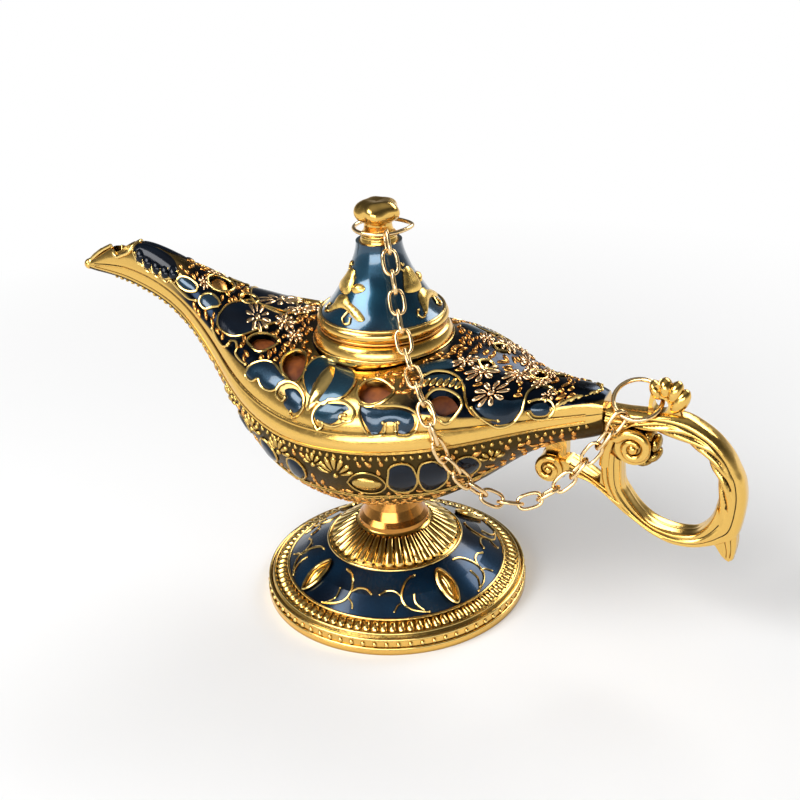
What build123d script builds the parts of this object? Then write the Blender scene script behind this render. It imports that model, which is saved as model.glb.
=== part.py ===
"""Genie oil lamp: a footed, pierced and enamelled body with a lift-off lid, its chain and a scrolled handle.

The lamp stands on the floor at z = 0 with its neck on the Z axis. The spout points to -X, the handle to +X.
Outlines are drawn as shares of lamp_span; walls, wires, screws and fits are lengths of their own.
"""
import os
from math import atan2, cos, degrees, hypot, radians, sin

from build123d import *

os.makedirs("parts", exist_ok=True)
RISING = (Align.CENTER, Align.CENTER, Align.MIN)
FORWARD = (Align.MIN, Align.CENTER, Align.CENTER)

# overall size
lamp_span = 100.0

# walls, skins and fits
shell_wall = 1.3
seam_gap = 0.2
seat_gap = 0.06
skin_gap = 0.04
running_fit = 0.08
press_fit = 0.02

# foot
flute_count = 38
flute_width = 0.8
flute_depth = 0.5
flute_length = 0.094 * lamp_span
notch_count = 88
notch_width = 0.9
notch_depth = 0.45
notch_length = 0.036 * lamp_span
edge_band_radius = 0.374 * lamp_span
edge_band_height = 0.031 * lamp_span
edge_band_width = 1.3
bead_count = 72
bead_width = 0.9
bead_depth = 0.4
eye_count = 4
eye_angle = -33.0
eye_place = 0.262 * lamp_span
eye_margin = 1.07
eye_length = 0.1174 * lamp_span - 2 * eye_margin
eye_width = 4.6

# foot bolt, washer and nut
bolt_radius = 1.9
bolt_hole_radius = 2.1
bolt_end = 0.086 * lamp_span
bolt_head_radius = 3.6
bolt_head_height = 2.2
bolt_slot_width = 1.0
bolt_slot_depth = 1.1
boss_end = 0.13 * lamp_span
washer_radius = 5.4
washer_thickness = 0.8
nut_width = 7.0
nut_height = 3.2

# body pads, spout and mouth
pad_floor = 0.3068 * lamp_span
pad_radius = 0.074 * lamp_span
floor_boss_top = 0.346 * lamp_span
pocket_radius = 0.194 * lamp_span
pocket_floor = 0.756 * lamp_span
mouth_radius = 0.1735 * lamp_span
seat_boss_radius = 0.208 * lamp_span
seat_boss_floor = 0.733 * lamp_span
mouth_ring_wall = 1.6
mouth_ring_floor = 0.715 * lamp_span
window_floor = 0.66 * lamp_span
crest_hole_sides = 8
spout_tip = (-0.953 * lamp_span, 0, 0.879 * lamp_span)
tip_bead_radius = 1.6
spout_mouth_place = -0.822 * lamp_span
spout_mouth_floor = 0.88 * lamp_span
spout_mouth_length = 7.4
spout_mouth_width = 5.1

# lid and finial
spigot_floor = 0.722 * lamp_span
flange_foot = 0.183 * lamp_span
stud_radius = 1.5
stud_hole_floor = 0.94 * lamp_span
lid_top = 1.05 * lamp_span
knob_floor = 1.104 * lamp_span
knob_height = 3.6
knob_radius = 0.036 * lamp_span
knob_lobe_radius = 1.7
knob_lobe_count = 8

# wire ring round the finial
finial_ring_height = 1.084 * lamp_span
finial_ring_wire = 1.1
finial_ring_turn = 26.0
wire_sides = 6

# jump ring and chain
jump_ring_centre = (0.699 * lamp_span, -0.001 * lamp_span, 0.697 * lamp_span)
jump_ring_radius = 0.062 * lamp_span
jump_ring_wire = 1.2
jump_ring_lean = 30.6
link_count = 24
link_wire = 1.0
link_width = 4.7
link_slack = 0.12
link_chamfer = 0.28
link_corner_share = 0.29
link_turn = 93.913

# handle and its screws
strap_width = 0.054 * lamp_span
strap_round = 0.009 * lamp_span
round_edge_least = 0.4 * lamp_span
volute_place = (0.699 * lamp_span, 0.574 * lamp_span)
volute_radius = 0.046 * lamp_span
volute_width = 0.074 * lamp_span
scroll_place = (0.476 * lamp_span, 0.471 * lamp_span)
scroll_radius = 0.037 * lamp_span
scroll_width = 0.066 * lamp_span
tail_bead_place = (0.954 * lamp_span, 0, 0.299 * lamp_span)
tail_bead_radius = 0.015 * lamp_span
thumb_width = 0.034 * lamp_span
thumb_hole_place = (0.759 * lamp_span, 0, 0.697 * lamp_span)
thumb_hole_radius = 0.02 * lamp_span
tang_end = 0.56 * lamp_span
tang_middle = 0.648 * lamp_span
tang_height = 0.03 * lamp_span
tang_width = 0.034 * lamp_span
tang_reach = 0.066 * lamp_span
screw_radius = 1.1
screw_head_radius = 2.0
screw_head_height = 1.0
screw_slot_width = 0.6
screw_slot_depth = 0.5
tang_screw_place = 0.588 * lamp_span
tang_screw_floor = 0.594 * lamp_span
tang_screw_top = 0.676 * lamp_span
tang_screw_reach = tang_screw_top - tang_screw_floor
strut_screw_place = 0.494 * lamp_span
strut_screw_floor = 0.45 * lamp_span
strut_screw_top = 0.612 * lamp_span

# body stations from spout tip to tail: place along X, half width, seam, crest and keel heights
body_station_shares = [
    (-0.950, 0.014, 0.877, 0.890, 0.865),
    (-0.890, 0.026, 0.874, 0.924, 0.860),
    (-0.820, 0.036, 0.869, 0.957, 0.852),
    (-0.740, 0.044, 0.850, 0.962, 0.830),
    (-0.650, 0.056, 0.816, 0.934, 0.786),
    (-0.560, 0.086, 0.768, 0.894, 0.715),
    (-0.460, 0.144, 0.706, 0.848, 0.612),
    (-0.345, 0.226, 0.642, 0.810, 0.472),
    (-0.200, 0.298, 0.598, 0.788, 0.348),
    (0.000, 0.332, 0.590, 0.776, 0.310),
    (0.180, 0.290, 0.595, 0.784, 0.346),
    (0.330, 0.198, 0.604, 0.758, 0.438),
    (0.480, 0.098, 0.620, 0.716, 0.542),
    (0.620, 0.046, 0.648, 0.704, 0.588),
]
bore_first = 2
bore_last = 12

# section of the upper half: shares of the half width and of the height over the seam
band_shares = [(1.000, 0.000), (1.014, 0.120), (0.988, 0.265)]
dome_shares = [(0.958, 0.300), (0.925, 0.480), (0.850, 0.660), (0.700, 0.820), (0.449, 0.950), (0, 1)]
core_shares = [(1, 0), (0.985, 0.280), (0.938, 0.480), (0.850, 0.660), (0.700, 0.820), (0.449, 0.950), (0, 1)]
# section of the lower half: shares of the half width and of the depth under the seam
bowl_shares = [(0.985, 0), (0.951, 0.309), (0.809, 0.588), (0.588, 0.809), (0.309, 0.951), (0, 1)]

# pierced windows of the near side, seen from above
window_shares = [
    [(-0.330, -0.156), (-0.306, -0.126), (-0.264, -0.132), (-0.254, -0.152), (-0.284, -0.178)],
    [(-0.202, -0.196), (-0.184, -0.16), (-0.152, -0.172), (-0.132, -0.226), (-0.144, -0.25), (-0.18, -0.232)],
    [(0.046, -0.256), (0.058, -0.222), (0.090, -0.218), (0.128, -0.238), (0.104, -0.266), (0.07, -0.276)],
    [(0.22, -0.226), (0.236, -0.198), (0.278, -0.186), (0.294, -0.194), (0.276, -0.216), (0.246, -0.232)],
    [(0.300, -0.056), (0.316, -0.040), (0.332, -0.056), (0.316, -0.072)],
    [(-0.344, -0.092), (-0.330, -0.078), (-0.316, -0.092), (-0.330, -0.106)],
]
# round windows on the crest: place along X and radius
crest_hole_shares = [(-0.504, 0.032), (-0.416, 0.020), (0.436, 0.018)]

# foot: radius and height of the turned outline, from the floor up the outside and back underneath
foot_outline_shares = [
    (0.380, 0.000),
    (0.380, 0.016),
    (0.374, 0.020),
    (0.374, 0.042),
    (0.368, 0.047),
    (0.363, 0.054),
    (0.357, 0.055),
    (0.316, 0.071),
    (0.3145, 0.072),
    (0.3145, 0.064),
    (0.196, 0.136),
    (0.196, 0.1455),
    (0.193, 0.1485),
    (0.189, 0.149),
    (0.103, 0.208),
    (0.101, 0.210),
    (0.000, 0.210),
    (0.000, 0.130),
    (0.064, 0.130),
    (0.064, 0.190),
    (0.098, 0.189),
    (0.188, 0.125),
    (0.312, 0.050),
    (0.350, 0.034),
    (0.360, 0.000),
]
cone_edge_shares = [(0.187, 0.1504), (0.106, 0.206)]
notch_edge_shares = [(0.354, 0.0562), (0.320, 0.0695)]
enamel_outline_shares = [(0.314, 0.0647), (0.314, 0.073), (0.262, 0.109), (0.1965, 0.1452), (0.1965, 0.1361)]
eye_stock_shares = [(0.314, 0.062), (0.314, 0.078), (0.262, 0.1155), (0.1965, 0.150), (0.1965, 0.130)]
neck_outline_shares = [
    (0.101, 0.2103),
    (0.0995, 0.222),
    (0.088, 0.236),
    (0.076, 0.262),
    (0.068, 0.285),
    (0.066, 0.293),
    (0.070, 0.297),
    (0.070, 0.304),
    (0.066, 0.3065),
    (0.000, 0.3065),
    (0.000, 0.2103),
]

# lid: flange, groove and bead ring, then the cone under the enamel and the hollow inside
flange_shares = [(0.1885, 0.782), (0.178, 0.812)]
groove_shares = [(0.167, 0.818), (0.165, 0.824)]
bead_shares = [(0.177, 0.842), (0.168, 0.8565)]
core_cone_shares = [(0.157, 0.857), (0.1455, 0.866), (0.124, 0.892), (0.102, 0.926), (0.079, 0.963)]
core_neck_shares = [(0.069, 0.987), (0.058, 1.018), (0.053, 1.050)]
bell_shares = [(0.166, 0.857), (0.154, 0.869), (0.132, 0.896), (0.110, 0.930), (0.087, 0.967)]
bell_neck_shares = [(0.077, 0.990), (0.066, 1.020), (0.061, 1.050)]
lid_hollow_shares = [(0.141, 0.8), (0.128, 0.862), (0.106, 0.902), (0.084, 0.935), (0.056, 0.958), (0, 0.962)]
finial_shares = [
    (0.052, 1.0506),
    (0.050, 1.062),
    (0.050, 1.068),
    (0.0465, 1.074),
    (0.040, 1.078),
    (0.040, 1.104),
    (0.046, 1.106),
    (0.046, 1.140),
    (0.039, 1.150),
    (0.020, 1.157),
    (0.000, 1.158),
    (0.000, 0.985),
]
# wire ring round the finial: angle from its point and distance from the lamp's axis
finial_ring_angles = [0, 45, 90, 135, 180, 225, 270, 315]
finial_ring_shares = [0.089, 0.073, 0.067, 0.064, 0.064, 0.064, 0.067, 0.073]

# side view of the handle: along X and up
handle_top_shares = [
    (0.6205, 0.669),
    (0.676, 0.668),
    (0.726, 0.670),
    (0.775, 0.677),
    (0.815, 0.674),
    (0.852, 0.660),
    (0.902, 0.628),
    (0.939, 0.588),
    (0.961, 0.550),
    (0.977, 0.510),
    (0.984, 0.466),
    (0.981, 0.404),
    (0.969, 0.350),
    (0.969, 0.306),
]
handle_tail_shares = [(0.957, 0.286), (0.938, 0.300), (0.921, 0.326)]
handle_low_shares = [
    (0.912, 0.330),
    (0.885, 0.316),
    (0.854, 0.310),
    (0.805, 0.312),
    (0.752, 0.332),
    (0.710, 0.359),
    (0.669, 0.387),
    (0.628, 0.420),
    (0.586, 0.450),
    (0.546, 0.464),
    (0.500, 0.446),
]
strut_top_shares = [(0.505, 0.498), (0.540, 0.494), (0.578, 0.472), (0.614, 0.450)]
stem_shares = [(0.617, 0.500), (0.620, 0.560), (0.6205, 0.627)]
hole_shares = [
    (0.667, 0.500),
    (0.671, 0.455),
    (0.686, 0.427),
    (0.712, 0.391),
    (0.740, 0.364),
    (0.770, 0.348),
    (0.806, 0.341),
    (0.846, 0.342),
    (0.874, 0.354),
    (0.900, 0.388),
    (0.916, 0.436),
    (0.920, 0.488),
    (0.902, 0.546),
    (0.869, 0.588),
    (0.818, 0.614),
    (0.776, 0.624),
    (0.738, 0.627),
    (0.690, 0.628),
    (0.668, 0.616),
]
lug_shares = [(0.464, 0.480), (0.464, 0.560), (0.520, 0.575), (0.520, 0.490)]
thumb_shares = [(0.729, 0.664), (0.730, 0.705), (0.736, 0.742), (0.750, 0.755), (0.776, 0.750)]
thumb_back_shares = [(0.796, 0.735), (0.805, 0.712), (0.812, 0.668)]

# rest line of the chain, from the jump ring over the rim and up the cone
chain_route_shares = [
    (0.672, -0.046, 0.674),
    (0.646, -0.066, 0.628),
    (0.611, -0.084, 0.576),
    (0.566, -0.107, 0.512),
    (0.506, -0.139, 0.458),
    (0.436, -0.178, 0.438),
    (0.370, -0.214, 0.468),
    (0.318, -0.250, 0.530),
    (0.284, -0.276, 0.592),
    (0.262, -0.286, 0.650),
    (0.240, -0.278, 0.712),
    (0.196, -0.240, 0.778),
    (0.156, -0.192, 0.812),
    (0.132, -0.162, 0.850),
    (0.108, -0.130, 0.904),
    (0.084, -0.098, 0.964),
    (0.064, -0.074, 1.030),
    (0.0445, -0.0505, 1.0895),
]


def spread(shares):
    return [tuple(lamp_span * share for share in point) for point in shares]


def mirrored(points):
    return points + [(-across, up) for across, up in reversed(points[:-1])]


def turned(points):
    """Solid of revolution about the lamp's axis from a closed outline of radii and heights."""
    with BuildPart() as solid:
        with BuildSketch(Plane.XZ):
            with BuildLine():
                Polyline(*points, close=True)
            make_face()
        revolve(axis=Axis.Z)
    return solid.part


def window_prism(points):
    """Prism standing on window_floor over a smooth closed outline."""
    with BuildPart() as prism:
        with BuildSketch(Plane.XY.offset(window_floor)):
            with BuildLine():
                Spline(*points, periodic=True)
            make_face()
        extrude(amount=lamp_span)
    return prism.part


def slope_place(low, high):
    """Middle and lean of a straight line up the foot, from its outer and inner ends."""
    lean = degrees(atan2(high[1] - low[1], low[0] - high[0]))
    return Location(((low[0] + high[0]) / 2, 0, (low[1] + high[1]) / 2), (0, lean, 0))


def screw(length):
    """Slotted screw standing on its head, its head's underside at length zero."""
    with BuildPart() as body:
        Cylinder(screw_radius, length, align=RISING)
        with Locations((0, 0, -screw_head_height)):
            Cylinder(screw_head_radius, screw_head_height, align=RISING)
            Box(2 * screw_head_radius, screw_slot_width, screw_slot_depth, align=RISING, mode=Mode.SUBTRACT)
    return body.part


def save(shape, name):
    shape.label = name
    export_step(shape, f"parts/{name}.step")


stations = spread(body_station_shares)


def steepness(index, column):
    before, after = stations[index - 1], stations[index + 1]
    return hypot(1, (after[column] - before[column]) / (after[0] - before[0]))


bore_stations = []
for index in range(bore_first, bore_last + 1):
    place, half_width, seam, crest, keel = stations[index]
    roof = crest - shell_wall * steepness(index, 3)
    floor = keel + shell_wall * steepness(index, 4)
    bore_stations.append((place, half_width - shell_wall, seam, roof, floor))

# outer shape of the upper half
with BuildPart() as dome_solid:
    for place, half_width, seam, crest, keel in stations:
        lip = seam + seam_gap / 2
        band = [(half_width * across, lip + (crest - lip) * up) for across, up in band_shares]
        dome = mirrored([(half_width * across, lip + (crest - lip) * up) for across, up in dome_shares])
        far_band = [(-across, up) for across, up in reversed(band)]
        with BuildSketch(Plane.YZ.offset(place)):
            with BuildLine():
                Spline(*band)
                Line(band[-1], dome[0])
                Spline(*dome)
                Line(dome[-1], far_band[0])
                Spline(*far_band)
                Line(far_band[-1], band[0])
            make_face()
    loft()

# hollow of the upper half, drawn down past the seam
with BuildPart() as dome_hollow:
    for place, half_width, seam, roof, floor in bore_stations:
        arch = mirrored([(half_width * across, seam + (roof - seam) * up) for across, up in core_shares])
        with BuildSketch(Plane.YZ.offset(place)):
            with BuildLine():
                Spline(*arch)
                Polyline(arch[-1], (-half_width, seam - shell_wall), (half_width, seam - shell_wall), arch[0])
            make_face()
    loft()
    with Locations((0, 0, seat_boss_floor)):
        Cylinder(seat_boss_radius, lamp_span, align=RISING, mode=Mode.SUBTRACT)

# outer shape of the lower half
with BuildPart() as bowl_solid:
    for place, half_width, seam, crest, keel in stations:
        lip = seam - seam_gap / 2
        belly = mirrored([(half_width * across, lip - (lip - keel) * down) for across, down in bowl_shares])
        with BuildSketch(Plane.YZ.offset(place)):
            with BuildLine():
                Spline(*belly)
                Line(belly[-1], belly[0])
            make_face()
    loft()

# hollow of the lower half, drawn up past the seam
with BuildPart() as bowl_hollow:
    for place, half_width, seam, roof, floor in bore_stations:
        near = [(half_width * across, seam - (seam - floor) * down) for across, down in bowl_shares]
        belly = mirrored(near)
        side = belly[0][0]
        with BuildSketch(Plane.YZ.offset(place)):
            with BuildLine():
                Spline(*belly)
                Polyline(belly[-1], (-side, seam + shell_wall), (side, seam + shell_wall), belly[0])
            make_face()
    loft()
    Cylinder(pad_radius, floor_boss_top, align=RISING, mode=Mode.SUBTRACT)

# prisms of the pierced windows on both sides
window_prisms = []
for outline in window_shares:
    near_side = spread(outline)
    window_prisms.append(window_prism(near_side))
    window_prisms.append(window_prism([(along, -across) for along, across in near_side]))

# pierced upper half with the lid pocket, the mouth and the opening of the spout
with BuildPart() as upper_shell:
    add(dome_solid.part)
    add(dome_hollow.part, mode=Mode.SUBTRACT)
    with Locations((0, 0, pocket_floor)):
        Cylinder(pocket_radius, lamp_span, align=RISING, mode=Mode.SUBTRACT)
    with Locations((0, 0, window_floor)):
        Cylinder(mouth_radius, lamp_span, align=RISING, mode=Mode.SUBTRACT)
    add(window_prisms, mode=Mode.SUBTRACT)
    with BuildSketch(Plane.XY.offset(window_floor)):
        for place_share, radius_share in crest_hole_shares:
            with Locations((place_share * lamp_span, 0)):
                RegularPolygon(radius_share * lamp_span, crest_hole_sides)
    extrude(amount=lamp_span, mode=Mode.SUBTRACT)
    with BuildSketch(Plane.XY.offset(spout_mouth_floor)):
        with Locations((spout_mouth_place, 0)):
            Ellipse(spout_mouth_length / 2, spout_mouth_width / 2)
    extrude(amount=lamp_span, mode=Mode.SUBTRACT)
    with Locations(spout_tip):
        Sphere(tip_bead_radius)
    with Locations((tang_end, 0, tang_middle)):
        Box(lamp_span, tang_width + running_fit, tang_height + running_fit, align=FORWARD, mode=Mode.SUBTRACT)
    with Locations((tang_screw_place, 0, 0)):
        Cylinder(screw_radius + press_fit, tang_screw_top, align=RISING, mode=Mode.SUBTRACT)
save(upper_shell.part, "upper_shell")

# lower half with the pad over the neck and the screw holes of its tail
with BuildPart() as bowl_shell:
    add(bowl_solid.part)
    add(bowl_hollow.part, mode=Mode.SUBTRACT)
    with Locations((0, 0, pad_floor)):
        Cylinder(pad_radius, floor_boss_top - pad_floor, align=RISING)
    Cylinder(bolt_hole_radius, lamp_span, align=RISING, mode=Mode.SUBTRACT)
    with Locations(spout_tip):
        Sphere(tip_bead_radius + seam_gap, mode=Mode.SUBTRACT)
    with Locations((tang_end, 0, tang_middle)):
        Box(lamp_span, tang_width + running_fit, tang_height + running_fit, align=FORWARD, mode=Mode.SUBTRACT)
    with Locations((tang_screw_place, 0, 0)):
        Cylinder(screw_radius + press_fit, lamp_span, align=RISING, mode=Mode.SUBTRACT)
        Cylinder(screw_head_radius + running_fit, tang_screw_floor, align=RISING, mode=Mode.SUBTRACT)
    with Locations((strut_screw_place, 0, 0)):
        Cylinder(screw_radius + press_fit, strut_screw_top, align=RISING, mode=Mode.SUBTRACT)
save(bowl_shell.part, "bowl_shell")

# one eye of the foot and the slightly larger well round it in the enamel
with BuildSketch() as eye:
    with BuildLine():
        ThreePointArc((-eye_length / 2, 0), (0, eye_width / 2), (eye_length / 2, 0))
        ThreePointArc((eye_length / 2, 0), (0, -eye_width / 2), (-eye_length / 2, 0))
    make_face()
with BuildSketch() as eye_well:
    add(eye.sketch)
    offset(amount=skin_gap)

# eyes cut out of a turned ring, so that their tops follow the foot's slope
eye_stock = turned(spread(eye_stock_shares))
with BuildPart() as eye_bosses:
    add(eye_stock)
    with BuildSketch():
        with PolarLocations(eye_place, eye_count, start_angle=eye_angle):
            add(eye.sketch)
    extrude(amount=lamp_span, mode=Mode.INTERSECT)

# foot casting: edge band, notched ring, recess for the enamel and fluted cone, hollow underneath
foot_body = turned(spread(foot_outline_shares))
flute_place = slope_place(*spread(cone_edge_shares))
notch_place = slope_place(*spread(notch_edge_shares))
with BuildPart() as foot_casting:
    add(foot_body)
    add(eye_bosses.part)
    with PolarLocations(0, flute_count):
        with Locations(flute_place):
            Box(flute_length, flute_width, 2 * flute_depth, mode=Mode.SUBTRACT)
    with PolarLocations(0, notch_count):
        with Locations(notch_place):
            Box(notch_length, notch_width, 2 * notch_depth, mode=Mode.SUBTRACT)
    with PolarLocations(edge_band_radius, bead_count):
        with Locations((0, 0, edge_band_height)):
            Box(2 * bead_depth, bead_width, edge_band_width, mode=Mode.SUBTRACT)
    Cylinder(bolt_hole_radius, lamp_span, align=RISING, mode=Mode.SUBTRACT)
save(foot_casting.part, "foot_casting")

# blue enamel ring lying in the foot's recess round the four eyes
enamel_body = turned(spread(enamel_outline_shares))
with BuildPart() as foot_enamel:
    add(enamel_body)
    with BuildSketch():
        with PolarLocations(eye_place, eye_count, start_angle=eye_angle):
            add(eye_well.sketch)
    extrude(amount=lamp_span, mode=Mode.SUBTRACT)
save(foot_enamel.part, "foot_enamel")

# neck between the foot and the bowl
neck_body = turned(spread(neck_outline_shares))
with BuildPart() as neck_collar:
    add(neck_body)
    Cylinder(bolt_hole_radius, lamp_span, align=RISING, mode=Mode.SUBTRACT)
save(neck_collar.part, "neck_collar")

# bolt through bowl, neck and foot with its washer and nut
with BuildPart() as foot_bolt:
    with Locations((0, 0, bolt_end)):
        Cylinder(bolt_radius, floor_boss_top - bolt_end, align=RISING)
    with Locations((0, 0, floor_boss_top)):
        Cylinder(bolt_head_radius, bolt_head_height, align=RISING)
    with Locations((0, 0, floor_boss_top + bolt_head_height - bolt_slot_depth)):
        Box(2 * bolt_head_radius, bolt_slot_width, bolt_slot_depth, align=RISING, mode=Mode.SUBTRACT)
save(foot_bolt.part, "foot_bolt")

with BuildPart() as foot_washer:
    with Locations((0, 0, boss_end - washer_thickness)):
        Cylinder(washer_radius, washer_thickness, align=RISING)
        Cylinder(bolt_hole_radius, washer_thickness, align=RISING, mode=Mode.SUBTRACT)
save(foot_washer.part, "foot_washer")

with BuildPart() as foot_nut:
    with BuildSketch(Plane.XY.offset(boss_end - washer_thickness - nut_height)):
        RegularPolygon(nut_width / 2, 6, major_radius=False)
        Circle(bolt_radius + press_fit, mode=Mode.SUBTRACT)
    extrude(amount=nut_height)
save(foot_nut.part, "foot_nut")

# ring pressed into the mouth of the upper half
with BuildPart() as mouth_ring:
    with Locations((0, 0, mouth_ring_floor)):
        Cylinder(mouth_radius - press_fit, pocket_floor - mouth_ring_floor, align=RISING)
        Cylinder(mouth_radius - mouth_ring_wall, lamp_span, align=RISING, mode=Mode.SUBTRACT)
save(mouth_ring.part, "mouth_ring")

# lid casting: spigot, flange, groove, bead ring and the hollow cone under the enamel
spigot_radius = mouth_radius - mouth_ring_wall - running_fit
lid_seat = pocket_floor + seat_gap
flange_side, flange_top = spread(flange_shares)
groove_top, groove_low = spread(groove_shares)
bead_side, bead_top = spread(bead_shares)
core_cone = spread(core_cone_shares + core_neck_shares)
lid_hollow = spread(lid_hollow_shares)
with BuildPart() as lid_casting:
    with BuildSketch(Plane.XZ):
        with BuildLine():
            Line((0, lid_top), (0, spigot_floor))
            Polyline((0, spigot_floor), (spigot_radius, spigot_floor), (spigot_radius, lid_seat))
            Line((spigot_radius, lid_seat), (flange_foot, lid_seat))
            ThreePointArc((flange_foot, lid_seat), flange_side, flange_top)
            Polyline(flange_top, groove_top, groove_low)
            ThreePointArc(groove_low, bead_side, bead_top)
            Line(bead_top, core_cone[0])
            Spline(*core_cone)
            Line(core_cone[-1], (0, lid_top))
        make_face()
        with BuildLine():
            Polyline((0, spigot_floor), (lid_hollow[0][0], spigot_floor), *lid_hollow, (0, spigot_floor))
        make_face(mode=Mode.SUBTRACT)
    revolve(axis=Axis.Z)
    with Locations((0, 0, stud_hole_floor)):
        Cylinder(stud_radius + press_fit, lamp_span, align=RISING, mode=Mode.SUBTRACT)
save(lid_casting.part, "lid_casting")

# blue enamel bell round the cone
bell = spread(bell_shares + bell_neck_shares)
bell_lining = [(radius + skin_gap, height) for radius, height in core_cone]
with BuildPart() as lid_enamel:
    with BuildSketch(Plane.XZ):
        with BuildLine():
            Spline(*bell)
            Line(bell[-1], bell_lining[-1])
            Spline(*reversed(bell_lining))
            Line(bell_lining[0], bell[0])
        make_face()
    revolve(axis=Axis.Z)
save(lid_enamel.part, "lid_enamel")

# finial screwed into the lid: stud, flared cup, groove for the ring and lobed knob
cup_outline = spread(finial_shares)
stud_outline = [(stud_radius, cup_outline[-1][1]), (stud_radius, cup_outline[0][1])]
finial_body = turned(stud_outline + cup_outline)
with BuildPart() as finial:
    add(finial_body)
    with BuildSketch(Plane.XY.offset(knob_floor)):
        with PolarLocations(knob_radius, knob_lobe_count):
            Circle(knob_lobe_radius)
        Circle(knob_radius)
    extrude(amount=knob_height)
save(finial.part, "finial")

# wire ring lying round the finial's groove
ring_points = []
for angle, share in zip(finial_ring_angles, finial_ring_shares):
    bearing = radians(finial_ring_turn + angle)
    reach = lamp_span * share
    ring_points.append((reach * cos(bearing), reach * sin(bearing), finial_ring_height))
with BuildPart() as finial_ring:
    with BuildLine():
        ring_line = Spline(*ring_points, periodic=True)
    with BuildSketch(Plane(origin=ring_line @ 0, z_dir=ring_line % 0)):
        RegularPolygon(finial_ring_wire / 2, wire_sides)
    sweep()
save(finial_ring.part, "finial_ring")

# handle: strap, ring and strut in one outline, with volute, scroll, lug and thumb piece
top_edge = spread(handle_top_shares)
tail_edge = spread(handle_tail_shares)
low_edge = spread(handle_low_shares)
strut_top = spread(strut_top_shares)
stem = spread(stem_shares)
with BuildPart() as handle_casting:
    with BuildSketch(Plane.XZ):
        with BuildLine():
            Spline(*top_edge)
            Polyline(top_edge[-1], *tail_edge, low_edge[0])
            Spline(*low_edge)
            Line(low_edge[-1], strut_top[0])
            Spline(*strut_top)
            Polyline(strut_top[-1], *stem, top_edge[0])
        make_face()
        with BuildLine():
            Spline(*spread(hole_shares), periodic=True)
        make_face(mode=Mode.SUBTRACT)
    extrude(amount=strap_width / 2, both=True)
    fillet(edges().filter_by(lambda edge: edge.length > round_edge_least), radius=strap_round)
    with BuildSketch(Plane.XZ):
        with Locations(volute_place):
            Circle(volute_radius)
    extrude(amount=volute_width / 2, both=True)
    with BuildSketch(Plane.XZ):
        with Locations(scroll_place):
            Circle(scroll_radius)
    extrude(amount=scroll_width / 2, both=True)
    with BuildSketch(Plane.XZ):
        with BuildLine():
            Polyline(*spread(lug_shares), close=True)
        make_face()
        with BuildLine():
            Polyline(*spread(thumb_shares + thumb_back_shares), close=True)
        make_face()
    extrude(amount=thumb_width / 2, both=True)
    with Locations(tail_bead_place):
        Sphere(tail_bead_radius)
    with Locations(Location(thumb_hole_place, (90, 0, 0))):
        Cylinder(thumb_hole_radius, lamp_span, mode=Mode.SUBTRACT)
    add(bowl_solid.part, mode=Mode.SUBTRACT)
    with Locations((tang_end + running_fit, 0, tang_middle)):
        Box(tang_reach, tang_width, tang_height, align=FORWARD)
    with Locations((tang_screw_place, 0, tang_screw_floor)):
        Cylinder(screw_radius + press_fit, tang_screw_reach, align=RISING, mode=Mode.SUBTRACT)
    with Locations((strut_screw_place, 0, 0)):
        Cylinder(screw_radius + press_fit, strut_screw_top, align=RISING, mode=Mode.SUBTRACT)
        Cylinder(screw_head_radius + running_fit, strut_screw_floor, align=RISING, mode=Mode.SUBTRACT)
save(handle_casting.part, "handle_casting")

# screws from below through the tail and the scroll
save(Pos(tang_screw_place, 0, tang_screw_floor) * screw(tang_screw_reach), "tail_screw")
save(Pos(strut_screw_place, 0, strut_screw_floor) * screw(strut_screw_top - strut_screw_floor), "strut_screw")

# jump ring through the thumb piece
ring_lean = Vector(0, -sin(radians(jump_ring_lean)), cos(radians(jump_ring_lean)))
ring_seat = Plane(origin=jump_ring_centre, x_dir=(1, 0, 0), z_dir=ring_lean)
ring_section = Plane(origin=jump_ring_centre, x_dir=(1, 0, 0), z_dir=ring_seat.y_dir)
with BuildPart() as jump_ring:
    with BuildSketch(ring_section):
        with Locations((jump_ring_radius, 0)):
            RegularPolygon(jump_ring_wire / 2, wire_sides)
    revolve(axis=Axis(jump_ring_centre, ring_lean))
save(jump_ring.part, "jump_ring")

# chain links, each turned a quarter and a little more against the one before
with BuildLine():
    rest_line = Spline(*spread(chain_route_shares))
joint_points = [rest_line @ (number / link_count) for number in range(link_count + 1)]
link_pitch = rest_line.length / link_count
link_length = link_pitch + link_slack + 2 * link_wire
with BuildPart() as link:
    with BuildSketch():
        Rectangle(link_length, link_width)
        chamfer(vertices(), length=link_corner_share * link_width)
    extrude(amount=link_wire / 2, both=True)
    with BuildSketch():
        Rectangle(link_length - 2 * link_wire, link_width - 2 * link_wire)
        chamfer(vertices(), length=link_corner_share * (link_width - 2 * link_wire))
    extrude(amount=link_wire / 2, both=True, mode=Mode.SUBTRACT)
    chamfer(edges().filter_by(lambda edge: abs(edge.center().Z) > link_wire / 3), length=link_chamfer)
for number in range(link_count):
    start, end = joint_points[number], joint_points[number + 1]
    heading = (end - start).normalized()
    level = heading.cross(Vector(0, 0, 1)).normalized()
    face = level.rotate(Axis((0, 0, 0), heading), link_turn * number)
    seat = Plane(origin=(start + end) * 0.5, x_dir=heading, z_dir=face)
    save(seat.location * link.part, f"chain_link_{number + 1:02d}")
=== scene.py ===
from math import atan2, copysign, cos, degrees, hypot, pi, radians, sin, sqrt

import bpy
import numpy as np
from mathutils import Matrix, Vector
from mathutils.bvhtree import BVHTree
from mathutils.geometry import delaunay_2d_cdt


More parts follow.
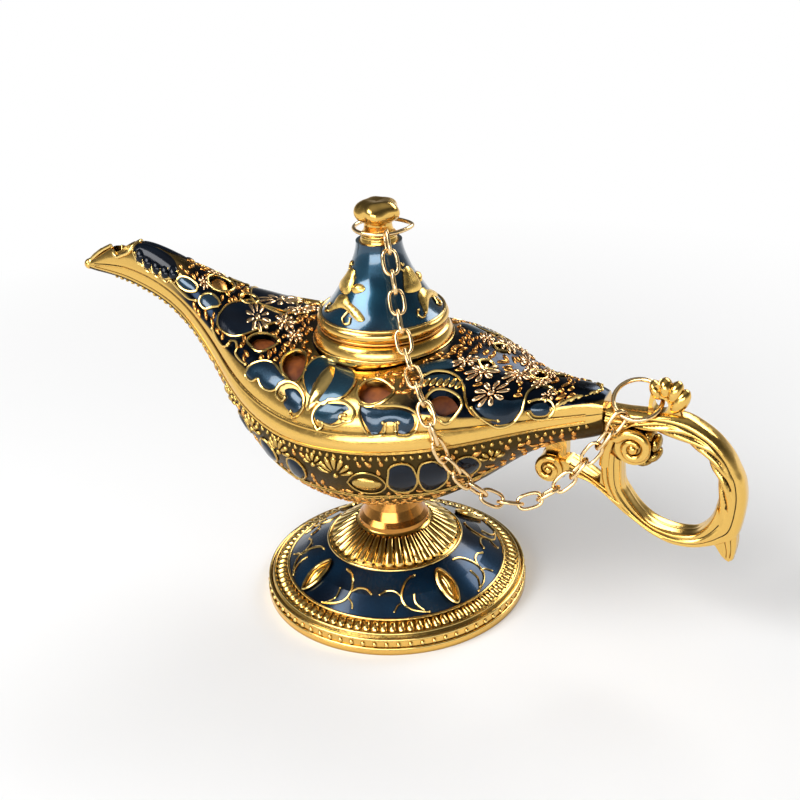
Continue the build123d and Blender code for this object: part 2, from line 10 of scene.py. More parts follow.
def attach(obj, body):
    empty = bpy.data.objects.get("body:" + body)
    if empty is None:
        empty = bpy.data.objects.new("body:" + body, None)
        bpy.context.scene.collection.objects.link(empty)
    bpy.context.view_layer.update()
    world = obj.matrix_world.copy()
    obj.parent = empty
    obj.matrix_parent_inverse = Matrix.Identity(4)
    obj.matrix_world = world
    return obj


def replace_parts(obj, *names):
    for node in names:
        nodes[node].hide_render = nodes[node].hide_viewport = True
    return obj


MM = 0.001
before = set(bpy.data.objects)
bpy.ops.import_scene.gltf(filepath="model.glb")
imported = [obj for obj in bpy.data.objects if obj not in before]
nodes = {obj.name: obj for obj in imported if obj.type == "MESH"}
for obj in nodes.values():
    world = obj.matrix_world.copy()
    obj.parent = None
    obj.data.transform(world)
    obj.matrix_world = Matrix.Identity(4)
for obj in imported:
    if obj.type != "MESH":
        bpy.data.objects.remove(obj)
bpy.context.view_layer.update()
LINKS, HANGING_LINKS = 24, 16
LINK_NAMES = [f"chain_link_{number:02d}" for number in range(1, LINKS + 1)]


# nodes of the materials
def feed(tree, node, inputs):
    """Give each named input of a node a value, or a socket to follow."""
    for key, value in inputs.items():
        if isinstance(value, bpy.types.NodeSocket):
            tree.links.new(value, node.inputs[key])
        else:
            node.inputs[key].default_value = value


def add_node(tree, kind, inputs=None, **settings):
    node = tree.nodes.new(kind)
    for key, value in settings.items():
        setattr(node, key, value)
    feed(tree, node, inputs or {})
    return node


def new_material(name):
    material = bpy.data.materials.new(name)
    material.use_nodes = True
    return material, material.node_tree, material.node_tree.nodes["Principled BSDF"]


def noise(tree, scale, detail=3.0):
    place = add_node(tree, "ShaderNodeTexCoord").outputs["Object"]
    inputs = {"Vector": place, "Scale": scale, "Detail": detail}
    return add_node(tree, "ShaderNodeTexNoise", inputs).outputs["Fac"]


def hollow(tree, reach):
    """Openness of a spot, low in crevices narrower than the reach in millimetres."""
    return add_node(tree, "ShaderNodeAmbientOcclusion", {"Distance": reach * MM}, samples=8).outputs["AO"]


def ramp(tree, source, stops):
    """Colour that follows a value; each stop is a place and a colour."""
    made = add_node(tree, "ShaderNodeValToRGB", {"Fac": source})
    while len(made.color_ramp.elements) < len(stops):
        made.color_ramp.elements.new(0.5)
    for element, (place, colour) in zip(made.color_ramp.elements, stops):
        element.position = place
        element.color = (*colour, 1.0)
    return made.outputs["Color"]


def grey(value):
    return (value, value, value)


def blend(tree, kind, factor, one, two):
    """Mix of two colours; the mix node's inputs 0, 6 and 7 are its factor and its colours."""
    inputs = {0: factor, 6: one, 7: two}
    return add_node(tree, "ShaderNodeMix", inputs, data_type="RGBA", blend_type=kind).outputs[2]


def range_share(tree, value, low, high):
    """A value run from 0 to 1 between two limits."""
    inputs = {"Value": value, "From Min": low, "From Max": high}
    return add_node(tree, "ShaderNodeMapRange", inputs).outputs["Result"]


def reckon(tree, kind, one, two):
    return add_node(tree, "ShaderNodeMath", {0: one, 1: two}, operation=kind).outputs[0]


# metals, enamels and the lining behind the windows
# painted crevice shade of the metals: openness where the shade is full and where it has faded out
CREVICE_SHADE_FROM, CREVICE_SHADE_TO = 0.35, 0.8
DENT_DEPTH = 0.2
ENAMEL_SPOTS, ENAMEL_SHADE_REACH, COAT_ROUGHNESS, LINING_SPOTS = 70.0, 1.6, 0.06, 300.0
# painted shade of the enamels: how dark a tight corner gets, and where the shade fades out
CORNER_SHADE_STOPS = [(0.45, grey(0.12)), (0.95, grey(1.0))]


def metal(name, colour, dark, roughness, crevice=1.6, spots=900.0, bump=0.0):
    """Polished metal with painted shade that darkens its crevices."""
    material, tree, shader = new_material(name)
    texture = noise(tree, spots)
    feed(tree, shader, {
        "Metallic": 1.0,
        # painted shade: the colour turns to the dark one where ambient occlusion finds a crevice
        "Base Color": ramp(tree, hollow(tree, crevice), [(CREVICE_SHADE_FROM, dark), (CREVICE_SHADE_TO, colour)]),
        "Roughness": ramp(tree, texture, [(0.3, grey(roughness * 0.75)), (0.7, grey(roughness * 1.35))]),
    })
    if bump:
        inputs = {"Strength": bump, "Distance": DENT_DEPTH * MM, "Height": texture}
        feed(tree, shader, {"Normal": add_node(tree, "ShaderNodeBump", inputs).outputs["Normal"]})
    return material


def enamel(name, deep, light, roughness=0.2, metallic=0.6, coat=1.0, shine=0.5):
    """Glossy enamel with painted shade that darkens it in its corners."""
    material, tree, shader = new_material(name)
    tone = ramp(tree, noise(tree, ENAMEL_SPOTS, 2.0), [(0.35, deep), (0.68, light)])
    # painted shade: the enamel's tone is multiplied down where ambient occlusion finds a corner
    shade = ramp(tree, hollow(tree, ENAMEL_SHADE_REACH), CORNER_SHADE_STOPS)
    feed(tree, shader, {
        "Base Color": blend(tree, "MULTIPLY", 1.0, tone, shade),
        "Metallic": metallic, "Roughness": roughness, "Specular IOR Level": shine,
        "Coat Weight": coat, "Coat Roughness": COAT_ROUGHNESS,
    })
    return material


GOLD = metal("gilt_gold", (0.86, 0.54, 0.140), (0.10, 0.030, 0.004), 0.19)
SHELL = metal("shell_gold", (0.86, 0.54, 0.140), (0.09, 0.026, 0.004), 0.19)
WIRE = metal("bright_wire", (0.92, 0.64, 0.210), (0.20, 0.07, 0.012), 0.17, crevice=0.6)
AMBER = metal("amber_gold", (0.74, 0.36, 0.090), (0.08, 0.020, 0.004), 0.22, crevice=0.8)
BLOSSOM = metal("rose_gold", (0.96, 0.66, 0.370), (0.20, 0.06, 0.018), 0.2, crevice=0.5)
AGED = metal("aged_gold", (0.62, 0.40, 0.110), (0.04, 0.016, 0.004), 0.25, crevice=0.9)
# dark metal of the bowl's ground, also used as painted shade in the handle's grooves
DARK_AND_GROOVE_SHADE = metal("dark_antique_and_groove_shade", (0.070, 0.045, 0.014), (0.008, 0.005, 0.003), 0.36, spots=1800.0, bump=0.4)
COPPER = metal("copper_polish", (0.56, 0.25, 0.055), (0.08, 0.020, 0.004), 0.2)
LEAF = metal("leaf_gold", (1.0, 0.66, 0.180), (0.30, 0.09, 0.012), 0.27, crevice=0.7)
ROSE = metal("rose_wire", (0.90, 0.64, 0.320), (0.20, 0.08, 0.020), 0.18, crevice=0.7)
BLUE = enamel("blue_enamel", (0.003, 0.014, 0.030), (0.009, 0.050, 0.092), roughness=0.26, coat=0.7)
TEAL = enamel("teal_enamel", (0.003, 0.024, 0.044), (0.010, 0.070, 0.115), roughness=0.26, coat=0.7)
BELL = enamel("bell_enamel", (0.005, 0.032, 0.062), (0.014, 0.088, 0.150))
NAVY = enamel("navy_enamel", (0.001, 0.003, 0.008), (0.003, 0.010, 0.022),
              metallic=0.2, coat=0.25, shine=0.2)
FOOT_BLUE = enamel("foot_enamel", (0.002, 0.008, 0.020), (0.007, 0.038, 0.086), coat=0.3, shine=0.3)
STEEL = metal("satin_steel", (0.55, 0.54, 0.52), (0.12, 0.11, 0.10), 0.35)
# painted shade: a dark amber matte lining stands for the unlit inside of the lamp seen through the windows
SHADED_LINING, lining_tree, lining_shader = new_material("shaded_inside_lining")
feed(lining_tree, lining_shader, {
    "Base Color": ramp(lining_tree, noise(lining_tree, LINING_SPOTS),
                       [(0.35, (0.12, 0.026, 0.005)), (0.7, (0.30, 0.080, 0.011))]),
    "Roughness": 0.5,
})
for material, names in (
    (SHELL, ["upper_shell"]),
    (DARK_AND_GROOVE_SHADE, ["bowl_shell"]),
    (COPPER, ["neck_collar"]),
    (FOOT_BLUE, ["foot_enamel"]),
    (BELL, ["lid_enamel"]),
    (GOLD, ["mouth_ring", "foot_casting", "handle_casting", "lid_casting", "finial"]),
    (STEEL, ["foot_bolt", "foot_washer", "foot_nut", "tail_screw", "strut_screw"]),
    (ROSE, ["jump_ring", "finial_ring", *LINK_NAMES]),
):
    for name in names:
        nodes[name].data.materials.clear()
        nodes[name].data.materials.append(material)


# building blocks
SHARP_ANGLE = radians(48)


def circle(count):
    """Cosine and sine of evenly spaced angles."""
    return [(cos(2 * pi * k / count), sin(2 * pi * k / count)) for k in range(count)]


def spun(bearing, radius, height):
    """Point round the lamp's upright axis; bearing in degrees."""
    return Vector((radius * cos(radians(bearing)), radius * sin(radians(bearing)), height))


def vectors(points):
    return [Vector(point) for point in points]


def ring_faces(rings, sides, first=0, closed=False, turned=False):
    """Faces between neighbouring rings of points; turned ones look the other way."""
    faces = []
    for i in range(rings if closed else rings - 1):
        low, high = first + i * sides, first + (i + 1) % rings * sides
        for k in range(sides):
            n = (k + 1) % sides
            one, two = (high + k, low + n) if turned else (low + n, high + k)
            faces.append((low + k, one, high + n, two))
    return faces


def end_faces(rings, sides):
    """Faces over the first and the last ring."""
    return [tuple(reversed(range(sides))), tuple((rings - 1) * sides + k for k in range(sides))]


def stand(name, data):
    """New object in the scene."""
    made = bpy.data.objects.new(name, data)
    bpy.context.scene.collection.objects.link(made)
    return made


class Piece:
    """Closed surfaces gathered into one object; sizes in millimetres."""

    def __init__(self):
        self.points, self.faces, self.paint = [], [], []

    def add(self, points, faces, paint=0):
        """Add a surface; paint numbers its material, or the material of each face."""
        first = len(self.points)
        self.points += vectors(points)
        self.faces += [tuple(first + i for i in face) for face in faces]
        self.paint += paint if isinstance(paint, list) else [paint] * len(faces)

    def mirror(self):
        first, count = len(self.points), len(self.faces)
        self.points += [Vector((p.x, -p.y, p.z)) for p in self.points[:first]]
        self.faces += [tuple(first + i for i in reversed(face)) for face in self.faces[:count]]
        self.paint += self.paint[:count]
        return self

    def make(self, name, body, slot, *materials):
        mesh = bpy.data.meshes.new(name)
        mesh.from_pydata([point * MM for point in self.points], [], self.faces)
        for material in materials:
            mesh.materials.append(material)
        for face, paint in zip(mesh.polygons, self.paint):
            face.material_index = paint
            face.use_smooth = True
        mesh.update()
        mesh.set_sharp_from_angle(angle=SHARP_ANGLE)
        made = stand(name, mesh)
        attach(made, body)
        return made


def curve(points, closed=False, per=6):
    """Smooth line through the points."""
    points, line = vectors(points), []
    count = len(points)
    for i in range(count if closed else count - 1):
        if closed:
            a, b, c, d = (points[(i + k) % count] for k in (-1, 0, 1, 2))
        else:
            b, c = points[i], points[i + 1]
            a = points[i - 1] if i else b + (b - c)
            d = points[i + 2] if i + 2 < count else c + (c - b)
        for k in range(per):
            t = k / per
            line.append(0.5 * (2 * b + (c - a) * t + (2 * a - 5 * b + 4 * c - d) * t ** 2
                               + (3 * b - a - 3 * c + d) * t ** 3))
    if not closed:
        line.append(points[-1])
    return line


def tube(piece, line, radius, sides=8, closed=False, paint=0):
    """Round wire along a line; radius is one number or one for each point."""
    count = len(line)
    sizes = radius if isinstance(radius, list) else [radius] * count
    ways = []
    for i in range(count):
        if closed:
            way = line[(i + 1) % count] - line[i - 1]
        else:
            way = line[min(i + 1, count - 1)] - line[max(i - 1, 0)]
        ways.append(way.normalized())
    frames = [ways[0].orthogonal().normalized()]
    for before, way in zip(ways, ways[1:]):
        side = before.rotation_difference(way) @ frames[-1]
        frames.append((side - side.dot(way) * way).normalized())
    twist = 0.0
    if closed:
        last = ways[-1].rotation_difference(ways[0]) @ frames[-1]
        twist = atan2(last.cross(frames[0]).dot(ways[0]), last.dot(frames[0]))
    points = []
    for i, (way, across) in enumerate(zip(ways, frames)):
        over = way.cross(across)
        for k in range(sides):
            angle = 2 * pi * k / sides + twist * i / count
            points.append(line[i] + sizes[i] * (cos(angle) * across + sin(angle) * over))
    ends = [] if closed else end_faces(count, sides)
    piece.add(points, ring_faces(count, sides, closed=closed) + ends, paint)


def tapered(first, last, count):
    """Radii that change evenly along a line of so many points."""
    return [first + (last - first) * k / count for k in range(count)]


def ball(piece, centre, radius, rings=6, sides=10):
    centre = Vector(centre)
    points = [centre + Vector((0, 0, radius))]
    for i in range(1, rings):
        lift, reach = radius * cos(pi * i / rings), radius * sin(pi * i / rings)
        points += [centre + Vector((reach * c, reach * s, lift)) for c, s in circle(sides)]
    points.append(centre - Vector((0, 0, radius)))
    last = len(points) - 1
    faces = [(0, 1 + k, 1 + (k + 1) % sides) for k in range(sides)]
    faces += ring_faces(rings - 1, sides, first=1, turned=True)
    faces += [(last - sides + k, last, last - sides + (k + 1) % sides) for k in range(sides)]
    piece.add(points, faces)


# the chain in round wire
def node_points(name):
    count = len(nodes[name].data.vertices)
    flat = np.empty(count * 3)
    nodes[name].data.vertices.foreach_get("co", flat)
    return flat.reshape(count, 3) / MM


def node_axes(name):
    """Middle of a CAD node and its long, middle and short directions."""
    points = node_points(name)
    centre = points.mean(0)
    turned = np.linalg.svd(points - centre, full_matrices=False)[2]
    spread = (points - centre) @ turned.T
    centre = centre + ((spread.max(0) + spread.min(0)) / 2) @ turned
    return Vector(centre), vectors(turned)


LINK_HALF_LENGTH, LINK_HALF_WIDTH, LINK_WIRE = 3.15, 1.85, 0.485
LINK_FULLNESS, LINK_CORNERS = 0.72, 28


def full(value):
    """Cosine or sine of an oval that is fuller than an ellipse."""
    return copysign(abs(value) ** LINK_FULLNESS, value)


for number, name in enumerate(LINK_NAMES, 1):
    centre, (along, across, _) = node_axes(name)
    line = [centre + along * LINK_HALF_LENGTH * full(c) + across * LINK_HALF_WIDTH * full(s)
            for c, s in circle(LINK_CORNERS)]
    link = Piece()
    tube(link, line, LINK_WIRE, 10, closed=True)
    body = name if number <= HANGING_LINKS else "ring"
    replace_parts(link.make(f"wire_link_{number:02d}", body, "rose_brass", ROSE), name)

# charts of the surfaces: body stations from spout tip to tail, each with its place along X, its half width
# and the heights of seam, crest and keel
STATIONS = np.array([
    (-95.0, 1.4, 87.7, 89.0, 86.5), (-89.0, 2.6, 87.4, 92.4, 86.0), (-82.0, 3.6, 86.9, 95.7, 85.2),
    (-74.0, 4.4, 85.0, 96.2, 83.0), (-65.0, 5.6, 81.6, 93.4, 78.6), (-56.0, 8.6, 76.8, 89.4, 71.5),
    (-46.0, 14.4, 70.6, 84.8, 61.2), (-34.5, 22.6, 64.2, 81.0, 47.2), (-20.0, 29.8, 59.8, 78.8, 34.8),
    (0.0, 33.2, 59.0, 77.6, 31.0), (18.0, 29.0, 59.5, 78.4, 34.6), (33.0, 19.8, 60.4, 75.8, 43.8),
    (48.0, 9.8, 62.0, 71.6, 54.2), (62.0, 4.6, 64.8, 70.4, 58.8),
])
# half sections: shares of the half width and of the height or depth from the seam
UPPER_SHARES = [(1, 0), (1.014, 0.12), (0.988, 0.265), (0.958, 0.30), (0.925, 0.48), (0.85, 0.66),
                (0.70, 0.82), (0.449, 0.95), (0, 1)]
LOWER_SHARES = [(0.985, 0), (0.951, 0.309), (0.809, 0.588), (0.588, 0.809), (0.309, 0.951), (0, 1)]
SEAM_HALF_GAP = 0.1
BAND_TOP_SHARE = 1.02 * 0.285
# nominal half width and height of a section, in which its shares are spaced along its outline
NOMINAL_WIDTH, NOMINAL_HEIGHT = 30, 18


def cubic(knots, values, place):
    """Smooth value at a place between knots."""
    slopes = np.gradient(values, knots)
    i = np.clip(np.searchsorted(knots, place) - 1, 0, len(knots) - 2)
    step = knots[i + 1] - knots[i]
    t = (place - knots[i]) / step
    return ((2 * t**3 - 3 * t**2 + 1) * values[i] + (t**3 - 2 * t**2 + t) * step * slopes[i]
            + (3 * t**2 - 2 * t**3) * values[i + 1] + (t**3 - t**2) * step * slopes[i + 1])


def station(place):
    """Half width, seam, crest and keel at a place along X."""
    return [float(cubic(STATIONS[:, 0], STATIONS[:, i], place)) for i in range(1, 5)]


def node_tree(name):
    points = vectors(node_points(name))
    return BVHTree.FromPolygons(points, [tuple(face.vertices) for face in nodes[name].data.polygons])


class Skin:
    """Near side of a body half: x along the lamp, s the way round the section from the seam."""

    X_FROM, X_TO, X_STEP = -94.5, 61.6, 0.5
    S_TO, S_STEP, S_SPARE = 46, 0.25, 0.3
    REACH, LOOSE = 2.0, 0.7
    PROBE_LIFT, PROBE_REACH = 1.0, 1.9

    def __init__(self, node, shares, upward):
        shares = np.array(shares)
        lengths = np.hypot(np.diff(shares[:, 0]) * NOMINAL_WIDTH, np.diff(shares[:, 1]) * NOMINAL_HEIGHT)
        knots = np.concatenate([[0], np.cumsum(lengths)]) / lengths.sum()
        steps = np.linspace(0, 1, 161)
        across, along = cubic(knots, shares[:, 0], steps), cubic(knots, shares[:, 1], steps)
        self.xs = np.arange(self.X_FROM, self.X_TO, self.X_STEP)
        self.ss = np.arange(0, self.S_TO, self.S_STEP)
        self.tree = node_tree(node)
        self.crest = []
        grid = np.empty((len(self.xs), len(self.ss), 3))
        for i, x in enumerate(self.xs):
            width, seam, crest, keel = station(x)
            lip = seam + (SEAM_HALF_GAP if upward else -SEAM_HALF_GAP)
            ys, zs = width * across, lip + ((crest if upward else keel) - lip) * along
            run = np.concatenate([[0], np.cumsum(np.hypot(np.diff(ys), np.diff(zs)))])
            self.crest.append(run[-1])
            grid[i, :, 0] = x
            grid[i, :, 1] = np.maximum(self.ss - run[-1], 0) - np.interp(self.ss, run, ys)
            grid[i, :, 2] = np.interp(self.ss, run, zs)
        dx, ds = np.gradient(grid, axis=0), np.gradient(grid, axis=1)
        normals = np.cross(dx, ds) if upward else np.cross(ds, dx)
        normals /= np.linalg.norm(normals, axis=2)[:, :, None] + 1e-9
        offset = np.zeros(grid.shape[:2])
        for i, k in np.ndindex(*offset.shape):
            if self.ss[k] > self.crest[i] + self.S_SPARE:
                continue
            start = Vector(grid[i, k] + self.REACH * normals[i, k])
            hit = self.tree.ray_cast(start, -Vector(normals[i, k]), 2 * self.REACH)
            if hit[0] is not None and abs(self.REACH - hit[3]) < self.LOOSE:
                offset[i, k] = self.REACH - hit[3]
        self.points = grid + offset[:, :, None] * normals
        self.normals = normals

    def __call__(self, x, s, height=0.0):
        u = min(max((x - self.xs[0]) / self.X_STEP, 0), len(self.xs) - 1.001)
        v = min(max(s / self.S_STEP, 0), len(self.ss) - 1.001)
        i, k = int(u), int(v)
        u, v = u - i, v - k
        both = []
        for table in (self.points, self.normals):
            both.append((1 - u) * ((1 - v) * table[i, k] + v * table[i, k + 1])
                        + u * ((1 - v) * table[i + 1, k] + v * table[i + 1, k + 1]))
        return Vector(both[0] + height * both[1])

    def top(self, x):
        return float(np.interp(x, self.xs, self.crest))

    def band_top(self, x):
        """Way round the section where the rim band ends."""
        width, seam, crest, keel = station(x)
        return BAND_TOP_SHARE * (crest - seam)

    def solid(self, x, s, reach=1.0):
        """Whether there is metal under a spot and round it."""
        for dx, ds in ((0, 0), (reach, 0), (-reach, 0), (0, reach), (0, -reach)):
            spot = self(x + dx, s + ds, self.PROBE_LIFT)
            way = (self(x + dx, s + ds, 0.0) - spot).normalized()
            if self.tree.ray_cast(spot, way, self.PROBE_REACH)[0] is None:
                return False
        return True


on_upper = Skin("upper_shell", UPPER_SHARES, True)
on_bowl = Skin("bowl_shell", LOWER_SHARES, False)


def cone_chart(first, last):
    """Chart of a cone between two points of its outline: bearing in degrees, then the way from the first."""
    first = Vector(first)
    along = (Vector(last) - first).normalized()
    out = Vector((along.y, -along.x))

    def place(bearing, way, height=0.0):
        return spun(bearing, *(first + way * along + height * out))

    return place


# radius and height along the outlines; how far a rise leans outward and upward
BELL_OUTLINE = [(16.6, 85.7), (15.4, 86.9), (13.2, 89.6), (11.0, 93.0), (8.7, 96.7), (7.7, 99.0),
                (6.6, 102.0), (6.1, 105.0)]
BELL_LEAN = (0.85, 0.5)
ENAMEL_OUTLINE = [(31.4, 7.3), (26.2, 10.9), (19.65, 14.52)]
ENAMEL_LEAN = (0.55, 0.84)
on_cone = cone_chart((18.7, 15.04), (10.6, 20.6))
on_notches = cone_chart((35.4, 5.62), (32.0, 6.95))


def bell(bearing, z, height=0.0):
    radii, heights = zip(*BELL_OUTLINE)
    return spun(bearing, np.interp(z, heights, radii) + height * BELL_LEAN[0], z + height * BELL_LEAN[1])


def foot(bearing, radius, height=0.0):
    radii, heights = zip(*reversed(ENAMEL_OUTLINE))
    z = np.interp(radius, radii, heights)
    return spun(bearing, radius + height * ENAMEL_LEAN[0], z + height * ENAMEL_LEAN[1])


# dark ground of the dome above the rim band
GROUND_TONE = (0.010, 0.016, 0.028, 1.0)
GROUND_LOW, GROUND_HIGH, GROUND_CEILING, GROUND_BLUR = -95.0, 62.0, 120.0, 0.6
# how far above the rim band the dark ground begins, at places along X
GROUND_START = [(-95, 0.5), (-60, 1.0), (-48, 2.4), (-40, 4.6), (-30, 5.6), (-14, 6.0), (20, 5.0),
                (30, 3.2), (36, 1.6), (46, 2.4), (56, 3.2), (62, 3.2)]
# along the lamp: where the ground is dark between the ornament and where it stays bright
GROUND_STOPS = [(0.0, 0.0), (0.16, 0.1), (0.24, 1.0), (0.46, 1.0), (0.54, 0.25), (0.66, 0.25),
                (0.73, 1.0), (0.97, 1.0)]


def ground_foot(x):
    """Way round the section where the dark ground begins."""
    return float(on_upper.band_top(x) + np.interp(x, *zip(*GROUND_START)))


ground_tree = SHELL.node_tree
ground_place = add_node(ground_tree, "ShaderNodeTexCoord").outputs["Object"]
ground_split = add_node(ground_tree, "ShaderNodeSeparateXYZ", {"Vector": ground_place})
ground_share = range_share(ground_tree, ground_split.outputs["X"], GROUND_LOW * MM, GROUND_HIGH * MM)
edge_curve = add_node(ground_tree, "ShaderNodeFloatCurve", {"Value": ground_share})
edge_line = edge_curve.mapping.curves[0]
for number, x in enumerate(STATIONS[:, 0]):
    spot = ((x - GROUND_LOW) / (GROUND_HIGH - GROUND_LOW), on_upper(x, ground_foot(x)).z / GROUND_CEILING)
    if number in (0, len(STATIONS) - 1):
        edge_line.points[0 if number == 0 else -1].location = spot
    else:
        edge_line.points.new(*spot)
edge_curve.mapping.update()
edge_height = reckon(ground_tree, "MULTIPLY", edge_curve.outputs["Value"], GROUND_CEILING * MM)
above = reckon(ground_tree, "SUBTRACT", ground_split.outputs["Z"], edge_height)
at_ends = ramp(ground_tree, ground_share, [(place, grey(value)) for place, value in GROUND_STOPS])
over_edge = range_share(ground_tree, above, 0.0, GROUND_BLUR * MM)
ground_mask = reckon(ground_tree, "MULTIPLY", over_edge, at_ends)
shell_shader = ground_tree.nodes["Principled BSDF"]
shell_tone = shell_shader.inputs["Base Color"].links[0].from_socket
shell_colour = blend(ground_tree, "MIX", ground_mask, shell_tone, GROUND_TONE)
feed(ground_tree, shell_shader, {"Base Color": shell_colour})

# ornament on a chart
WIRE_RADIUS, WIRE_LIFT, WIRE_SIDES = 0.36, 0.22, 7
PLATE_THICKNESS, PLATE_DOME, PLATE_SINK, PETAL_SINK = 0.22, 0.34, 0.3, 0.25
# free strip along a plate's rim as a share of the step; width of its rounding, and the least width
RIM_SHARE, ROUNDED_SHARE, ROUNDED_LEAST = 0.32, 0.7, 0.4


def inside(outline, point):
    x, y = point
    within = False
    for i in range(len(outline)):
        (ax, ay), (bx, by) = outline[i - 1], outline[i]
        if (ay > y) != (by > y) and x < (bx - ax) * (y - ay) / (by - ay) + ax:
            within = not within
    return within


def edge_distance(outline, point):
    best = 1e9
    for a, b in zip(outline[-1:] + outline[:-1], outline):
        run = b - a
        t = min(max((point - a).dot(run) / max(run.length_squared, 1e-9), 0), 1)
        best = min(best, (point - a - t * run).length)
    return best


def crowded(spot, outlines, margin, rounds):
    """Whether a spot is in an outline, within a margin of one, or in a round given by centre and radius."""
    if any(inside(outline, spot) or edge_distance(outline, spot) < margin for outline in outlines):
        return True
    return any((spot - Vector(centre)).length < radius for centre, radius in rounds)


def lifted(place, rise):
    """Chart of the surface that lies so far above another."""
    return lambda x, s, height=0.0: place(x, s, height + rise)


def turned_out(faces, points, place, spot):
    """Faces, all reversed if the first looks into the surface under the spot."""
    a, b, c = (points[i] for i in faces[0][:3])
    outward = place(spot[0], spot[1], 1.0) - place(spot[0], spot[1], 0.0)
    if (b - a).cross(c - a).dot(outward) < 0:
        return [tuple(reversed(face)) for face in faces]
    return faces


def plate(piece, place, outline, paint=0, thick=PLATE_THICKNESS, dome=PLATE_DOME, step=1.0):
    """Raised pad inside a closed outline, rounded towards its edge."""
    rim = curve(outline, closed=True, per=4)
    low = [min(p[k] for p in rim) for k in (0, 1)]
    high = [max(p[k] for p in rim) for k in (0, 1)]
    spots = list(rim)
    for row in range(int((high[1] - low[1]) / step) + 2):
        for column in range(int((high[0] - low[0]) / step) + 2):
            spot = Vector((low[0] + (column + 0.5 * (row % 2)) * step, low[1] + row * step))
            if inside(rim, spot) and edge_distance(rim, spot) > RIM_SHARE * step:
                spots.append(spot)
    flat, _, faces, _, _, _ = delaunay_2d_cdt(spots, [], [list(range(len(rim)))], 1, 1e-5)
    reach = min(high[0] - low[0], high[1] - low[1]) / 2
    top, bottom = [], []
    for spot in flat:
        share = min(edge_distance(rim, spot) / max(ROUNDED_SHARE * reach, ROUNDED_LEAST), 1.0)
        top.append(place(spot.x, spot.y, thick + dome * sqrt(1 - (1 - share) ** 2)))
        bottom.append(place(spot.x, spot.y, -PLATE_SINK))
    size = len(flat)
    edges = [edge for face in faces for edge in zip(face, face[1:] + face[:1])]
    paired = set(edges)
    built = faces + [tuple(size + i for i in reversed(face)) for face in faces]
    built += [(b, a, size + a, size + b) for a, b in edges if (b, a) not in paired]
    middle = sum((flat[i] for i in faces[0]), Vector((0, 0))) / len(faces[0])
    piece.add(top + bottom, turned_out(built, top, place, middle), paint)


def wire(piece, place, points, radius=WIRE_RADIUS, closed=False, balls=1.5, per=5, lift=WIRE_LIFT):
    """Raised wire drawn on a chart, with a ball at each open end; balls are in wire radii."""
    line = []
    for spot in curve(points, closed=closed, per=per):
        point = place(spot[0], spot[1], lift)
        if not line or (point - line[-1]).length > 0.5 * radius:
            line.append(point)
    tube(piece, line, radius, WIRE_SIDES, closed=closed)
    if balls and not closed:
        ball(piece, line[0], balls * radius)
        ball(piece, line[-1], balls * radius)


def petal(piece, place, spot, heading, length, width, height, taper=0.0, paint=0, rings=3, sides=10):
    """Domed leaf or lobe on a chart; heading in degrees; taper widens its far end."""
    points = [place(spot[0], spot[1], height)]
    c, s = cos(radians(heading)), sin(radians(heading))
    bends = [pi / 2 * ring / rings for ring in range(1, rings + 1)]
    for reach, rise in [(sin(bend), height * cos(bend)) for bend in bends] + [(1.0, -PETAL_SINK)]:
        for d, e in circle(sides):
            a = length / 2 * reach * d
            b = width / 2 * reach * e * (1 + taper * d)
            points.append(place(spot[0] + a * c - b * s, spot[1] + a * s + b * c, rise))
    faces = [(0, 1 + k, 1 + (k + 1) % sides) for k in range(sides)]
    faces += ring_faces(rings + 1, sides, first=1, turned=True)
    faces.append(tuple(1 + rings * sides + k for k in reversed(range(sides))))
    piece.add(points, turned_out(faces, points, place, spot), paint)


def moved(spot, heading, reach):
    """Spot of a chart so far from another, at a heading in degrees."""
    return Vector(spot) + reach * Vector((cos(radians(heading)), sin(radians(heading))))


# flowers: reach, length and width of petals and width of the button as shares of the radius; the rises
SEAT_SHARE, LENGTH_SHARE, WIDTH_SHARE, BUTTON_SHARE = 0.62, 0.80, 2.7, 0.44
PETAL_RISE, PETAL_TAPER, BUTTON_RISE = 0.5, 0.45, 0.7


def flower(piece, place, spot, radius, count, paint=0):
    """Ring of separate petals round a button."""
    for k in range(count):
        heading = 360 * k / count
        seat = moved(spot, heading, SEAT_SHARE * radius)
        length, width = LENGTH_SHARE * radius, WIDTH_SHARE * radius / count
        petal(piece, place, seat, heading, length, width, PETAL_RISE, PETAL_TAPER, paint)
    petal(piece, place, spot, 0, BUTTON_SHARE * radius, BUTTON_SHARE * radius, BUTTON_RISE, paint=paint)


